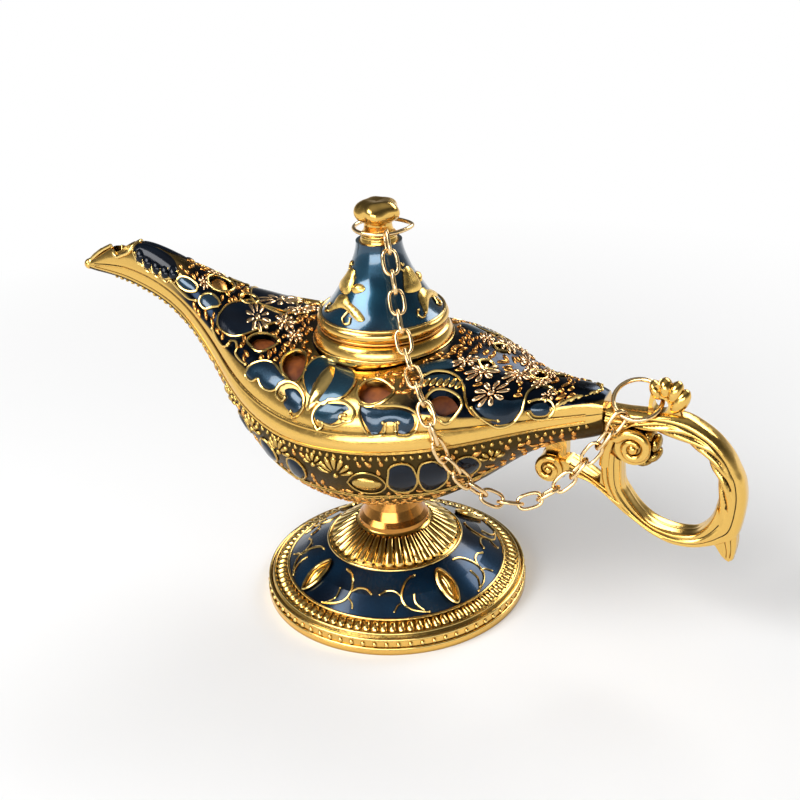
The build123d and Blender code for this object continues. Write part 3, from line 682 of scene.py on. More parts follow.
# upper shell, near side and its mirror image: spots are a place along X and a way round from the seam
PADS = {
    "lobe": [(-30.3, 9.6), (-29.8, 12.1), (-27.7, 14.9), (-25.1, 17.2), (-22.2, 18), (-18.8, 16.8),
             (-16.6, 16.2), (-18.5, 14), (-19, 12.4), (-21, 11), (-24, 10.5), (-25.7, 11.6),
             (-27.6, 9.9)],
    "curl_pad": [(-16.3, 13.1), (-14.9, 14.2), (-12.7, 14.5), (-10.6, 12.9), (-10.2, 10.7), (-11.7, 8.8),
                 (-14.1, 8.8), (-15.8, 9.9), (-15, 11.5)],
    "hook_pad": [(-5.4, 8.5), (-6, 9.8), (-5.2, 11.4), (-3.2, 12.7), (-0.5, 13.2), (1.9, 13.2),
                 (3.3, 12.2), (2.2, 11.4), (1.3, 10.5), (1, 9.5), (-0.2, 8.4), (-3, 7.6)],
    "twin_pad": [(6.5, 12.8), (9, 12.8), (12.4, 12.3), (15.7, 12.2), (18.4, 11.2), (19.7, 9.8),
                 (19.7, 7.7), (18.2, 5.5), (16.4, 6.1), (16, 8.7), (13, 9.1), (12, 6.7), (10.4, 5.6),
                 (8.7, 8), (7.4, 9.9)],
    "leaf": [(-8.6, 13.9), (-10.7, 15.8), (-12.4, 18.5), (-12.9, 21.7), (-12.2, 24.9), (-10.5, 26.9),
             (-7.7, 26.4), (-5.2, 26.1), (-1.8, 25.3), (1.3, 22.5), (2.3, 19.2), (1.6, 16.4),
             (-0.1, 14.5), (-2.7, 14), (-4.1, 12.5)],
    "arch_pad": [(19.5, 21.1), (21.2, 21.8), (24.3, 21.3), (27, 18.6), (27.8, 16.9), (25.1, 18.6),
                 (22.3, 19.4)],
    "flange_pad": [(15.7, 25.9), (22, 28.6), (25.1, 24.3), (21.7, 23.8), (18.5, 23.3)],
    "heart": [(32.7, 10.6), (34.8, 7.4), (38, 3.9), (40.9, 4.1), (42.6, 6.8), (43.3, 9.3), (40.2, 9.9),
              (37.1, 11.1)],
    "tail_drop": [(45, 6.6), (46.1, 7.5), (48.4, 7), (49.4, 5.2), (48.4, 4.1), (46.1, 4.6)],
    "drop_cell": [(-43.6, 11), (-45, 12.1), (-44.9, 14.6), (-44.4, 18), (-42.6, 23.4), (-40.3, 28.1),
                  (-35.3, 31.8), (-29.6, 34.7), (-25.2, 34.9), (-29.6, 30.1), (-32.1, 23.6),
                  (-35.3, 17.6), (-38.9, 13.4)],
    "spout_lobe": [(-52.4, 9.8), (-52, 12.4), (-50.1, 15), (-47.7, 16), (-46.3, 15.3), (-47.8, 13),
                   (-50, 10.2)],
    "spout_oval": [(-61, 8.6), (-60.2, 10.6), (-57.6, 12.2), (-54.8, 12.6), (-54.4, 11.2), (-56.6, 9.2),
                   (-59, 8.2)],
    "leaf_hump": [(-77, 9.4), (-75.4, 7.4), (-73, 6.2), (-71.4, 7.2), (-69.6, 6.0), (-67.6, 7.2),
                  (-65.6, 6.6), (-62.8, 8.6), (-61.6, 11), (-64, 13.2), (-70, 13.6), (-75, 12.8)],
}
RIMMED_PADS = ["lobe", "leaf", "drop_cell", "spout_lobe", "spout_oval"]
WIRES = {
    "curl": [(-15.6, 11.5), (-16.5, 10.4), (-18.1, 10.6), (-18.8, 11.7), (-18.1, 13.8), (-15.7, 15.7),
             (-12.6, 15.5), (-10, 13.4), (-9.6, 11), (-10.6, 8.8), (-12.4, 7.2), (-13.7, 8), (-13.1, 8.8)],
    "hook": [(-4.6, 8.2), (-3.3, 7.9), (-4.4, 5.5), (-6.2, 7.9), (-6.3, 10.1), (-5, 12.2), (-2.6, 13.8),
             (0.6, 14.3), (3.1, 13.5), (4.9, 11.7), (4.6, 9.5), (3, 9), (1.4, 9.5), (1.5, 10.6),
             (2.6, 10.6)],
    "hook_foot": [(-3.3, 7.9), (-0.6, 7.4), (1.6, 8.2), (3, 9)],
    "twin_right": [(6, 13.6), (12.2, 13.4), (15.4, 13.2), (18.4, 12.2), (20.3, 10.5), (20.7, 8.4),
                   (19.6, 5.2), (17.7, 5), (16, 5.6), (15.4, 8.7), (16.2, 9)],
    "twin_left": [(6, 13.6), (6.3, 11.2), (7.3, 8.8), (9.2, 5.6), (11.2, 5.4), (12.8, 5.9), (13.1, 8.8),
                  (12.4, 9.1)],
    "arch": [(19, 22), (20.8, 23.4), (23.9, 22.5), (26.7, 20.1), (28.9, 16.5), (30.1, 13), (31.2, 10.3),
             (32.9, 7.9), (35.2, 6.5), (38.1, 5.2)],
    "heart": [(31.9, 10), (34.5, 6.6), (38, 3.4), (40.9, 3.4), (42.9, 5.8), (43.3, 8), (43.5, 11.6),
              (45.2, 13.3), (48, 12.2), (50.1, 9.4)],
    "leaf_hump": PADS["leaf_hump"][:9],
    "small_curl": [(-38.6, 11.4), (-38.3, 12.4), (-36.7, 13.9), (-35.4, 13.3), (-35.3, 11.6), (-33, 11.6),
                   (-30.9, 12.1)],
    "tail_drop": [(44.4, 8.4), (46.2, 8.6), (49, 7.6), (50.4, 5.2), (48.8, 3.2), (46, 3.7), (44.6, 5.4)],
    "tail_leaf": [(50, 5.4), (53.3, 6.6), (56.7, 7.2), (59.8, 7.6)],
    "spout_arc_1": [(-63, 7.4), (-60, 7), (-56.5, 7.4), (-53.6, 9.2)],
    "spout_arc_2": [(-46, 8.6), (-43.4, 8), (-40.6, 8.8), (-39, 10.6)],
}
FLOWERS = [((35.5, 13.2), 4.0, 9), ((39.9, 19.3), 3.6, 9), ((31.6, 21.2), 3.8, 8), ((48.4, 9.2), 2.0, 7),
           ((-35.2, 25.6), 5.0, 10), ((-53.6, 15.2), 2.0, 7), ((-28.0, 32.4), 3.8, 9),
           ((-22.0, 30.0), 2.8, 8), ((26.6, 26.6), 3.0, 8), ((45.6, 14.6), 2.2, 7)]
FLOWER_LIFT = 0.25
TEARDROP = [(-8.2, 9.9), (-8.3, 13.6), (-8.3, 18.5), (-7.8, 22), (-6.6, 24.2), (-4.9, 23.4), (-3.8, 19.8),
            (-4.3, 15.9), (-5.9, 12.6)]
PAD_PAINT = {"leaf": 1, "arch_pad": 1, "flange_pad": 1, "hook_pad": 1, "leaf_hump": 2, "drop_cell": 2}
# small leaves: length, width, rise and taper
ARCH_LEAF, TAIL_LEAF, HUMP = (3.2, 1.5, 0.6, -0.2), (2.8, 1.1, 0.5, -0.3), (4.4, 3.0, 1.2, 0.3)
HUMP_SPOTS = [(-74.2, 8.6), (-71.4, 7.8), (-68.4, 7.8), (-65.4, 8.2), (-62.8, 9.8)]
# wire round the foot of a hump, from the hump's spot
HUMP_WIRE = [(-1.7, 0.2), (-1.2, -1.9), (0.4, -2.4), (1.6, -1.2)]
THIN_WIRE = 0.26
# rows of small leaves: start, count, step and heading; how much a row drops or climbs, and the arch's bend
ARCH_START, ARCH_LEAVES, ARCH_STEP, ARCH_HEADING = (18.8, 20.4), 7, 1.5, 82
TAIL_START, TAIL_LEAVES, TAIL_STEP, TAIL_HEADING = (51.4, 6.4), 6, 1.7, 40
ROW_SLOPE, ARCH_BEND, HUMP_HEADING = 0.35, 0.1, 70
pads, wires = Piece(), Piece()
for name, outline in PADS.items():
    plate(pads, on_upper, outline, paint=PAD_PAINT.get(name, 0))
for name in RIMMED_PADS:
    wire(wires, on_upper, PADS[name], closed=True)
for line in WIRES.values():
    wire(wires, on_upper, line)
for spot, radius, count in FLOWERS:
    flower(wires, lifted(on_upper, FLOWER_LIFT), spot, radius, count, paint=1)
plate(wires, on_upper, TEARDROP, thick=0.5, dome=0.55)
for k in range(ARCH_LEAVES):
    spot = (ARCH_START[0] + ARCH_STEP * k, ARCH_START[1] - ROW_SLOPE * k - ARCH_BEND * (k - 3) ** 2)
    petal(wires, on_upper, spot, ARCH_HEADING, *ARCH_LEAF)
for k in range(TAIL_LEAVES):
    spot = (TAIL_START[0] + TAIL_STEP * k, TAIL_START[1] + ROW_SLOPE * k)
    petal(wires, on_upper, spot, TAIL_HEADING, *TAIL_LEAF)
for x, s in HUMP_SPOTS:
    petal(pads, on_upper, (x, s), HUMP_HEADING, *HUMP, paint=2)
    wire(wires, on_upper, [(x + along, s + round_way) for along, round_way in HUMP_WIRE], radius=THIN_WIRE)
pads.mirror().make("enamel_pads", "lamp", "blue_enamel", BLUE, TEAL, NAVY)
wires.mirror().make("raised_wires", "lamp", "gilt_brass", WIRE, BLOSSOM)

# grains that fill the ground between the cells; plain metal lies in front, below PLAIN_FOOT
GRAIN_FROM, GRAIN_TO, GRAIN_STEP, GRAIN_ROW_STEP = -64.0, 58.0, 2.45, 2.45 * 0.86
GRAIN_FOOT, GRAIN_TOP, GRAIN_MARGIN, GRAIN_JITTER = 1.3, 0.2, 1.0, 0.45
PLAIN_FOOT, PLAIN_FROM, PLAIN_TO = 15.8, -31.0, 33.0
PAD_CLEARANCE, FLOWER_CLEARANCE, WIRE_CLEARANCE, LID_CLEARANCE = 0.9, 0.5, 0.95, 20.6
GRAIN_LENGTH, GRAIN_WIDTH, GRAIN_RISE, GRAIN_TAPER = 2.3, 1.35, 0.55, 0.3
pad_outlines = [vectors(outline) for outline in PADS.values()]
flower_rounds = [(centre, radius + FLOWER_CLEARANCE) for centre, radius, count in FLOWERS]
strokes = [curve(line, per=3) for line in WIRES.values()]
strokes += [curve(PADS[name], closed=True, per=3) for name in RIMMED_PADS]
stroke_spots = np.array([tuple(spot) for line in strokes for spot in line])


def takes_grain(spot):
    """Whether the ground at a spot is free and has metal under it."""
    seat = on_upper(*spot)
    low = PLAIN_FOOT if PLAIN_FROM < spot.x < PLAIN_TO else ground_foot(spot.x) + GRAIN_MARGIN
    if hypot(seat.x, seat.y) < LID_CLEARANCE or spot.y < low:
        return False
    if crowded(spot, pad_outlines, PAD_CLEARANCE, flower_rounds):
        return False
    if np.hypot(stroke_spots[:, 0] - spot.x, stroke_spots[:, 1] - spot.y).min() < WIRE_CLEARANCE:
        return False
    return on_upper.solid(*spot)


grains = Piece()
draw = np.random.default_rng(11)
x = GRAIN_FROM
while x < GRAIN_TO:
    s = on_upper.band_top(x) + GRAIN_FOOT
    while s < on_upper.top(x) - GRAIN_TOP:
        jitter = draw.uniform(-GRAIN_JITTER, GRAIN_JITTER, 2)
        spin = draw.uniform(0, 180)
        size = draw.uniform(0.8, 1.25)
        spot = Vector((x + jitter[0], s + jitter[1]))
        s += GRAIN_ROW_STEP
        if takes_grain(spot):
            length, width = GRAIN_LENGTH * size, GRAIN_WIDTH * size
            petal(grains, on_upper, spot, spin, length, width, GRAIN_RISE, GRAIN_TAPER, sides=8)
    x += GRAIN_STEP
grains.mirror().make("leaf_grains", "lamp", "gilt_brass", AMBER)

# rims of the pierced windows, given by X and Y, and of the crest holes, given by X and radius
WINDOWS = [
    [(-33, -15.6), (-30.6, -12.6), (-26.4, -13.2), (-25.4, -15.2), (-28.4, -17.8)],
    [(-20.2, -19.6), (-18.4, -16), (-15.2, -17.2), (-13.2, -22.6), (-14.4, -25), (-18, -23.2)],
    [(4.6, -25.6), (5.8, -22.2), (9, -21.8), (12.8, -23.8), (10.4, -26.6), (7, -27.6)],
    [(22, -22.6), (23.6, -19.8), (27.8, -18.6), (29.4, -19.4), (27.6, -21.6), (24.6, -23.2)],
    [(30, -5.6), (31.6, -4), (33.2, -5.6), (31.6, -7.2)],
    [(-34.4, -9.2), (-33, -7.8), (-31.6, -9.2), (-33, -10.6)],
]
CREST_HOLES = [(-50.4, 3.2), (-41.6, 2.0), (43.6, 1.8)]
WINDOW_RIM, CREST_RIM = 0.42, 0.5
RIM_MARGIN, CREST_MARGIN = 0.55, 0.5
RIM_LIFT, CREST_LIFT = 0.15, 0.2
ABOVE_ALL = 120


def dropped(x, y, lift):
    """Point on the upper shell under (x, y), or nothing over a hole."""
    hit = on_upper.tree.ray_cast(Vector((x, y, ABOVE_ALL)), Vector((0, 0, -1)))
    return [hit[0] + lift * hit[1]] if hit[0] is not None else []


def centre_of(outline):
    return sum(vectors(outline), Vector((0, 0))) / len(outline)


rims = Piece()
for outline in WINDOWS:
    centre, line = centre_of(outline), []
    for spot in curve(outline, closed=True, per=5):
        line += dropped(*(spot + RIM_MARGIN * (spot - centre).normalized()), RIM_LIFT)
    tube(rims, line, WINDOW_RIM, 7, closed=True)
rims.mirror()
for middle_x, radius in CREST_HOLES:
    line = []
    for c, s in circle(16):
        reach = radius + CREST_MARGIN
        line += dropped(middle_x + reach * c, reach * s, CREST_LIFT)
    tube(rims, line, CREST_RIM, closed=True)
rims.make("window_rims", "lamp", "gilt_brass", WIRE)

# lining seen behind the windows and the crest holes; its dark amber is painted shade standing for the lamp's
# shaded inside
LINING_DEPTH, LINING_SPREAD, LINING_DOME, BOSS_LIFT = 2.3, 1.3, 0.1, 1.2
# width of lining and boss as shares of a crest hole's radius, and their rises
CREST_LINING_SHARE, CREST_LINING_RISE, BOSS_SHARE, BOSS_RISE = 2.5, 0.7, 2.1, 0.9


def way_round(x, y):
    """Way round the section of the upper shell to the place with this Y."""
    steps = np.arange(on_upper.band_top(x), on_upper.top(x), 0.2)
    return min(steps, key=lambda s: abs(on_upper(x, s).y - y))


lining, boss, behind = Piece(), Piece(), lifted(on_upper, -LINING_DEPTH)
for outline in WINDOWS:
    centre = centre_of(outline)
    spread_out = [centre + LINING_SPREAD * (point - centre) for point in vectors(outline)]
    plate(lining, behind, [(p.x, way_round(p.x, p.y)) for p in spread_out], dome=LINING_DOME)
lining.mirror()
for middle_x, radius in CREST_HOLES:
    seat, size = (middle_x, on_upper.top(middle_x)), CREST_LINING_SHARE * radius
    petal(lining, behind, seat, 0, size, size, CREST_LINING_RISE, sides=16)
lining.make("window_lining", "lamp", "copper_brass", SHADED_LINING)
middle_x, radius = CREST_HOLES[0]
seat, size = (middle_x, on_upper.top(middle_x)), BOSS_SHARE * radius
petal(boss, lifted(behind, BOSS_LIFT), seat, 0, size, size, BOSS_RISE, rings=4, sides=20)
boss.make("crest_boss", "lamp", "gilt_brass", AMBER)

# lines along the rim band, each its share of the band and its radius: a double groove and a rounded edge
BAND_LINES = [(0.03, 0.28), (0.11, 0.26), (0.97, 0.34)]
BAND_FROM, BAND_TO, BAND_STEP, BAND_FOOT, BAND_LIFT = -92, 61, 6, 0.1, 0.05
band = Piece()
for share, radius in BAND_LINES:
    line = [on_upper(x, share * on_upper.band_top(x) + BAND_FOOT, BAND_LIFT)
            for x in np.arange(BAND_FROM, BAND_TO, BAND_STEP)]
    tube(band, curve(line, per=5), radius, 7)
band.mirror().make("band_lines", "lamp", "gilt_brass", GOLD)

# bowl: dark lobes, lines, an eye, fans (spot, radius, petals, first and last heading), beads and seeds
BOWL_PADS = [
    [(13.5, 5.9), (14.0, 3.8), (16.0, 2.7), (18.3, 3.0), (19.6, 4.8), (20.0, 8.7), (17.8, 13.0),
     (14.3, 13.0), (12.8, 9.9)],
    [(20.6, 5.4), (21.6, 3.3), (24.0, 2.9), (25.6, 4.2), (26.9, 6.6), (25.9, 10.8), (23.0, 14.2),
     (20.8, 14.0), (20.2, 10.0)],
    [(28.4, 5.8), (29.4, 3.6), (31.6, 3.2), (33.4, 4.6), (33.8, 7.2), (31.6, 10.4), (29.2, 9.8)],
    [(-16.0, 8.6), (-15.2, 6.0), (-12.6, 5.4), (-10.4, 7.4), (-10.6, 11.0), (-13.0, 13.6), (-15.6, 12.0)],
    [(-25.6, 7.4), (-24.6, 5.0), (-22.2, 4.8), (-20.2, 6.8), (-20.4, 10.2), (-22.8, 12.4), (-25.2, 10.8)],
    [(-35.0, 6.2), (-34.2, 4.4), (-32.2, 4.2), (-30.6, 5.8), (-30.8, 8.8), (-32.8, 10.6), (-34.8, 9.2)],
]
BOWL_FANS = [((-0.4, 7.4), 6.4, 7, 200, 340), ((-18.2, 5.4), 4.8, 6, 200, 350),
             ((-28.2, 4.6), 4.2, 6, 195, 345), ((-38.4, 4.4), 3.4, 5, 200, 340),
             ((36.6, 6.0), 3.6, 5, 200, 340), ((-6.6, 5.0), 3.8, 5, 200, 340)]
BOWL_LINES = [
    [(-44, 7.6), (-34, 11.2), (-24, 13.4), (-12, 14.4), (0, 14.9), (6, 15.6), (11, 15.2), (16, 15.4),
     (26, 15.6), (36, 11.6)],
    [(-44, 8.6), (-34, 12.4), (-24, 14.6), (-12, 15.6), (0, 16.1), (6, 16.8), (11, 16.4), (16, 16.6),
     (26, 16.6), (36, 12.6)],
    [(2.4, 9.4), (4.4, 6.6), (7.6, 5.4), (10.8, 6.4), (12.4, 9.6), (10.6, 12.6), (7.4, 13.8), (4.2, 12.6),
     (2.4, 9.4)],
]
BOWL_EYE, EYE_CLEARANCE, LOBE_CLEARANCE, STEM_CLEARANCE = (7.4, 9.6), 5.4, 1.0, 9
FAN_SEAT_SHARE, FAN_LENGTH_SHARE, FAN_WIDTH_SHARE, FAN_DROP_SHARE = 0.62, 0.74, 1.1, 0.12
FAN_RISE, FAN_TAPER = 0.75, 0.5
LOBE_DOME, LOBE_WIRE = 0.6, 0.34
# length, width and rise of the button of a fan and of the eye
FAN_BUTTON, BOWL_EYE_SIZES = (1.6, 1.6, 0.9), (8.0, 4.6, 1.1)
BEAD, BEADS, BEADS_FROM, BEAD_STEP, BEAD_WAY = (1.5, 1.0, 0.5, 0.3), 74, -84, 1.95, 1.15
SEEDS_FROM, SEEDS_TO, SEED_STEP, SEED_FOOT, SEED_TOP, SEED_ROW_STEP = -70, 55, 2.4, 2.9, 26, 2.3
SEED_LENGTH, SEED_WIDTH, SEED_RISE, SEED_TAPER = 2.2, 1.2, 0.45, 0.3
bowl_outlines = [vectors(outline) for outline in BOWL_PADS]
bowl_rounds = [(BOWL_EYE, EYE_CLEARANCE)] + [sizes[:2] for sizes in BOWL_FANS]


def fan(piece, place, spot, radius, count, first, last):
    """Spread of petals between two headings, the outer ones shorter."""
    step = radians(last - first) / (count - 1)
    for k in range(count):
        heading = first + (last - first) * k / (count - 1)
        reach = radius * (1 - FAN_DROP_SHARE * abs(2 * k / (count - 1) - 1))
        seat = moved(spot, heading, FAN_SEAT_SHARE * reach)
        length, width = FAN_LENGTH_SHARE * reach, FAN_WIDTH_SHARE * reach * sin(step / 2)
        petal(piece, place, seat, heading, length, width, FAN_RISE, FAN_TAPER)


def takes_seed(spot):
    """Whether the bowl is plain at a spot."""
    seat = on_bowl(*spot)
    if hypot(seat.x, seat.y) < STEM_CLEARANCE:
        return False
    return not crowded(spot, bowl_outlines, LOBE_CLEARANCE, bowl_rounds)


bowl_pads, bowl_gold = Piece(), Piece()
for outline in BOWL_PADS:
    plate(bowl_pads, on_bowl, outline, dome=LOBE_DOME)
    wire(bowl_gold, on_bowl, outline, closed=True, radius=LOBE_WIRE)
for sizes in BOWL_FANS:
    fan(bowl_gold, on_bowl, *sizes)
    petal(bowl_gold, on_bowl, sizes[0], 0, *FAN_BUTTON)
for line in BOWL_LINES:
    wire(bowl_gold, on_bowl, line, radius=THIN_WIRE, balls=0)
petal(bowl_gold, on_bowl, BOWL_EYE, 0, *BOWL_EYE_SIZES, rings=4, sides=16)
for k in range(BEADS):
    petal(bowl_gold, on_bowl, (BEADS_FROM + BEAD_STEP * k, BEAD_WAY), 70 if k % 2 else 110, *BEAD, sides=8)
draw = np.random.default_rng(5)
for x in np.arange(SEEDS_FROM, SEEDS_TO, SEED_STEP):
    depth = station(x)[1] - station(x)[3]
    for s in np.arange(SEED_FOOT, min(0.95 * depth, SEED_TOP), SEED_ROW_STEP):
        spot = Vector((x + draw.uniform(-0.5, 0.5), s + draw.uniform(-0.4, 0.4)))
        spin = draw.uniform(20, 160)
        size = draw.uniform(0.8, 1.2)
        if takes_seed(spot):
            length, width = SEED_LENGTH * size, SEED_WIDTH * size
            petal(bowl_gold, on_bowl, spot, spin, length, width, SEED_RISE, SEED_TAPER, paint=1, sides=8)
bowl_pads.mirror().make("bowl_lobes", "lamp", "blue_enamel", NAVY)
bowl_gold.mirror().make("bowl_relief", "lamp", "dark_brass", AGED, AMBER)

# foot: ribs, tabs, hoops (radius, height, wire), beads, eyes and sprigs (bearing from the eye, radius)
FLUTES, NOTCHES, EDGE_BEADS = 38, 88, 72
# rib and tab: places along their run and how wide they are there, both as shares
RIB_SHARES = [(0.0, 0.35), (0.03, 0.75), (0.1, 1.0), (0.5, 0.8), (0.93, 0.56), (0.98, 0.42), (1.0, 0.2)]
TAB_SHARES = [(0.0, 0.4), (0.08, 0.85), (0.25, 1.0), (0.75, 0.9), (0.92, 0.65), (1.0, 0.3)]
RIB_SINK = 0.5
FLUTE_RUN, FLUTE_RADIUS, NOTCH_RUN, NOTCH_RADIUS = (0.2, 9.7), 1.55, (0.1, 3.5), 1.12
FOOT_HOOPS = [(31.7, 7.15, 0.42), (19.3, 14.75, 0.5), (35.9, 5.45, 0.4), (37.3, 4.5, 0.42),
              (37.6, 1.75, 0.42)]
EDGE_BEAD_SEAT, EDGE_BEAD_HEIGHT, EDGE_BEAD_RADIUS = 37.35, 3.1, 0.72
EYE_BEARINGS, EYE_RADIUS, EYE_HALF_LENGTH, EYE_HALF_WIDTH = [-33, 57, 147, -123], 26.2, 4.7, 2.25
EYE_POINTING, EYE_WIRE, EYE_WIRE_LIFT = 0.28, 0.42, 0.75
# length, width and rise of the leaf in an eye
EYE_LEAF, SPRIG_LIFT, SPRIG_BALLS = (6.6, 1.9, 1.15), 0.12, 1.2
ARC = [(18, 21.2), (22.6, 21.7), (26.6, 23.2), (29, 25.7), (28.2, 28.1), (23.5, 29.8), (15.5, 30.9)]
FORK = [(21.4, 26.2), (21.6, 28.4), (18.0, 30.4)]
SPRIG = [(28.4, 27.7), (31.4, 28.4), (33.6, 29.9)]
HOOK = [(29.3, 26.2), (33.2, 24.9), (38.4, 24.8), (42.4, 25.9)]
SPRIG_LINES = [(ARC, 0.32), (FORK, 0.27), (SPRIG, 0.25), (HOOK, 0.3)]


def rib(piece, chart, bearing, run, radius, shares):
    """Rounded rib up a turned surface, sunk to about half its wire."""
    line, sizes = [], []
    for share, width in shares:
        line.append(chart(bearing, run[0] + share * (run[1] - run[0]), -RIB_SINK * width * radius))
        sizes.append(width * radius)
    tube(piece, line, sizes, 12)


def hoop(piece, radius, height, size, count=120, paint=0):
    line = [Vector((radius * c, radius * s, height)) for c, s in circle(count)]
    tube(piece, line, size, closed=True, paint=paint)


foot_gold = Piece()
for k in range(FLUTES):
    rib(foot_gold, on_cone, 360 * (k + 0.5) / FLUTES, FLUTE_RUN, FLUTE_RADIUS, RIB_SHARES)
for k in range(NOTCHES):
    rib(foot_gold, on_notches, 360 * (k + 0.5) / NOTCHES, NOTCH_RUN, NOTCH_RADIUS, TAB_SHARES)
for radius, height, size in FOOT_HOOPS:
    hoop(foot_gold, radius, height, size)
for k in range(EDGE_BEADS):
    seat = spun(360 * k / EDGE_BEADS, EDGE_BEAD_SEAT, EDGE_BEAD_HEIGHT)
    ball(foot_gold, seat, EDGE_BEAD_RADIUS, rings=5, sides=8)
eye_rim = [(EYE_HALF_LENGTH * c, EYE_HALF_WIDTH * s * (1 - EYE_POINTING * c ** 2)) for c, s in circle(24)]
for bearing in EYE_BEARINGS:
    def on_eye(along, across, height=0.0, bearing=bearing):
        out = spun(bearing, EYE_RADIUS + along, 0) + spun(bearing + 90, across, 0)
        return foot(degrees(atan2(out.y, out.x)), hypot(out.x, out.y), height)

    wire(foot_gold, on_eye, eye_rim, closed=True, radius=EYE_WIRE, per=1, lift=EYE_WIRE_LIFT)
    petal(foot_gold, on_eye, (0, 0), 0, *EYE_LEAF, rings=4, sides=16)
    for side in (1, -1):
        for line, size in SPRIG_LINES:
            sprig = [(bearing + side * turn, radius) for turn, radius in line]
            wire(foot_gold, foot, sprig, radius=size, lift=SPRIG_LIFT, balls=SPRIG_BALLS)
foot_gold.make("foot_relief", "lamp", "gilt_brass", WIRE)

# lid: arabesque leaves, given by the way round and the height, and hoops (radius, height, wire, paint)
# the hoop at 82.2 takes the second material, the darker amber metal, as painted shade for the groove between
# flange and bead ring
LID_HOOPS = [(16.7, 85.75, 0.42, 0), (18.9, 78.4, 0.3, 0), (16.75, 82.2, 0.5, 1)]
LID_LEAF_DOME, LID_LEAF_STEP = 0.6, 0.8
LID_BEARINGS, LID_REFERENCE = (-122, -2, 118), 11.0
LID_LEAVES = [
    [(-2.9, 98.2), (0.2, 98.4), (1.6, 97.0), (1.9, 94.6), (1.0, 92.7), (-2.4, 92.6), (-5.4, 93.4),
     (-4.6, 95.6)],
    [(1.7, 94.3), (3.1, 95.6), (5.2, 95.6), (6.2, 94.7), (4.6, 93.7), (2.9, 93.5)],
    [(-2.6, 87.4), (-2.5, 89.6), (-1.7, 91.9), (1.2, 92.4), (2.6, 91.4), (5.4, 90.2), (7.4, 88.4),
     (6.3, 87.7), (4.6, 88.5), (3.2, 89.3), (1.0, 89.5), (-0.8, 88.7)],
]
LID_CURLS = [[(3.2, 89.2), (2.6, 87.6), (3.4, 86.7), (4.5, 87.0), (4.3, 88.0)],
             [(-2.6, 87.6), (-3.8, 87.0), (-4.6, 87.9), (-4.0, 88.8)],
             [(-3.2, 98.0), (-4.4, 98.8), (-3.6, 99.9), (-2.6, 99.3)]]
lid_gold = Piece()
for bearing in LID_BEARINGS:
    def on_leaf(u, z, height=0.0, bearing=bearing):
        return bell(bearing + degrees(u / LID_REFERENCE), z, height)

    for outline in LID_LEAVES:
        plate(lid_gold, on_leaf, outline, dome=LID_LEAF_DOME, step=LID_LEAF_STEP, paint=2)
    for line in LID_CURLS:
        wire(lid_gold, on_leaf, line, radius=THIN_WIRE)
for radius, height, size, paint in LID_HOOPS:
    hoop(lid_gold, radius, height, size, count=96, paint=paint)
lid_gold.make("lid_relief", "lid", "gilt_brass", WIRE, AMBER, LEAF)

# finial as a lobed bud: radius and height along its outline
BUD = [(0.0, 104.2), (4.7, 104.2), (4.9, 105.3), (4.6, 106.1), (4.8, 106.7), (4.4, 107.3), (3.9, 107.9),
       (3.7, 109.6), (4.4, 110.4), (5.2, 111.0), (5.75, 112.2), (5.6, 113.6), (4.7, 114.8), (3.0, 115.6),
       (1.2, 115.5), (0.0, 115.3)]
BUD_LOBES, LOBE_DEPTH, LOBES_FROM = 5, 0.075, 110.0
BUD_SIDES, BUD_MIDDLE, BUD_TWIST, BUD_TIP = 60, 112, 0.4, 0.01
bud, profile, bud_points = Piece(), curve(BUD, per=3), []
for spot in profile:
    depth, twist = (LOBE_DEPTH if spot.y > LOBES_FROM else 0), BUD_TWIST * (spot.y - BUD_MIDDLE)
    for k in range(BUD_SIDES):
        bearing = 360 * k / BUD_SIDES
        reach = max(spot.x, BUD_TIP) * (1 + depth * cos(BUD_LOBES * radians(bearing) + twist))
        bud_points.append(spun(bearing, reach, spot.y))
bud.add(bud_points, ring_faces(len(profile), BUD_SIDES) + end_faces(len(profile), BUD_SIDES))
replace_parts(bud.make("finial_bud", "lid", "gilt_brass", GOLD), "finial")

# the two rings in round wire; the finial ring's reach every 45 degrees from its point
JUMP_RADIUS, JUMP_WIRE, RING_WIRE = 6.2, 0.62, 0.56
RING_REACH = [8.9, 7.3, 6.7, 6.4, 6.4, 6.4, 6.7, 7.3]
RING_HEIGHT, RING_BEARING = 108.4, 26
jump, ring = Piece(), Piece()
centre, (one, two, _) = node_axes("jump_ring")
tube(jump, [centre + JUMP_RADIUS * (c * one + s * two) for c, s in circle(48)], JUMP_WIRE, 10, closed=True)
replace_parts(jump.make("jump_ring_wire", "lamp", "rose_brass", ROSE), "jump_ring")
corners = [spun(RING_BEARING + 45 * k, reach, RING_HEIGHT) for k, reach in enumerate(RING_REACH)]
tube(ring, curve(corners, closed=True, per=8), RING_WIRE, 10, closed=True)
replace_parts(ring.make("finial_ring_wire", "ring", "rose_brass", ROSE), "finial_ring")

# handle: castings between pairs of points on their outer and inner edge, seen from the side, along X and up
LOOP = [((61.9, 57), (66.6, 53)), ((61.7, 50), (66.7, 50)), ((62.3, 45.5), (67.1, 45.5)),
        ((64.5, 41), (68.6, 42.7)), ((67.5, 38.2), (71.2, 39.1)), ((71.5, 35.6), (74, 36.4)),
        ((75.4, 33.2), (77, 34.8)), ((80.5, 31.2), (80.6, 34.1)), ((85.4, 31), (84.6, 34.2)),
        ((89.5, 32), (87.4, 35.4)), ((93.5, 33.6), (90, 38.8)), ((97, 36), (91.6, 43.6)),
        ((98.4, 44.6), (92, 48.8)), ((97.8, 51), (91.4, 52.5)), ((96.1, 55), (90.2, 54.6)),
        ((93.9, 58.8), (88.5, 57.5)), ((90.2, 62.8), (86, 59.5)), ((85.2, 66), (81.8, 61.4)),
        ((81.5, 67.3), (77.6, 62.4)), ((77.5, 67.6), (73.8, 62.7)), ((72.6, 67), (69, 62.8)),
        ((67.6, 66.7), (66.8, 61.6)), ((62.6, 66.7), (62.3, 62.9))]
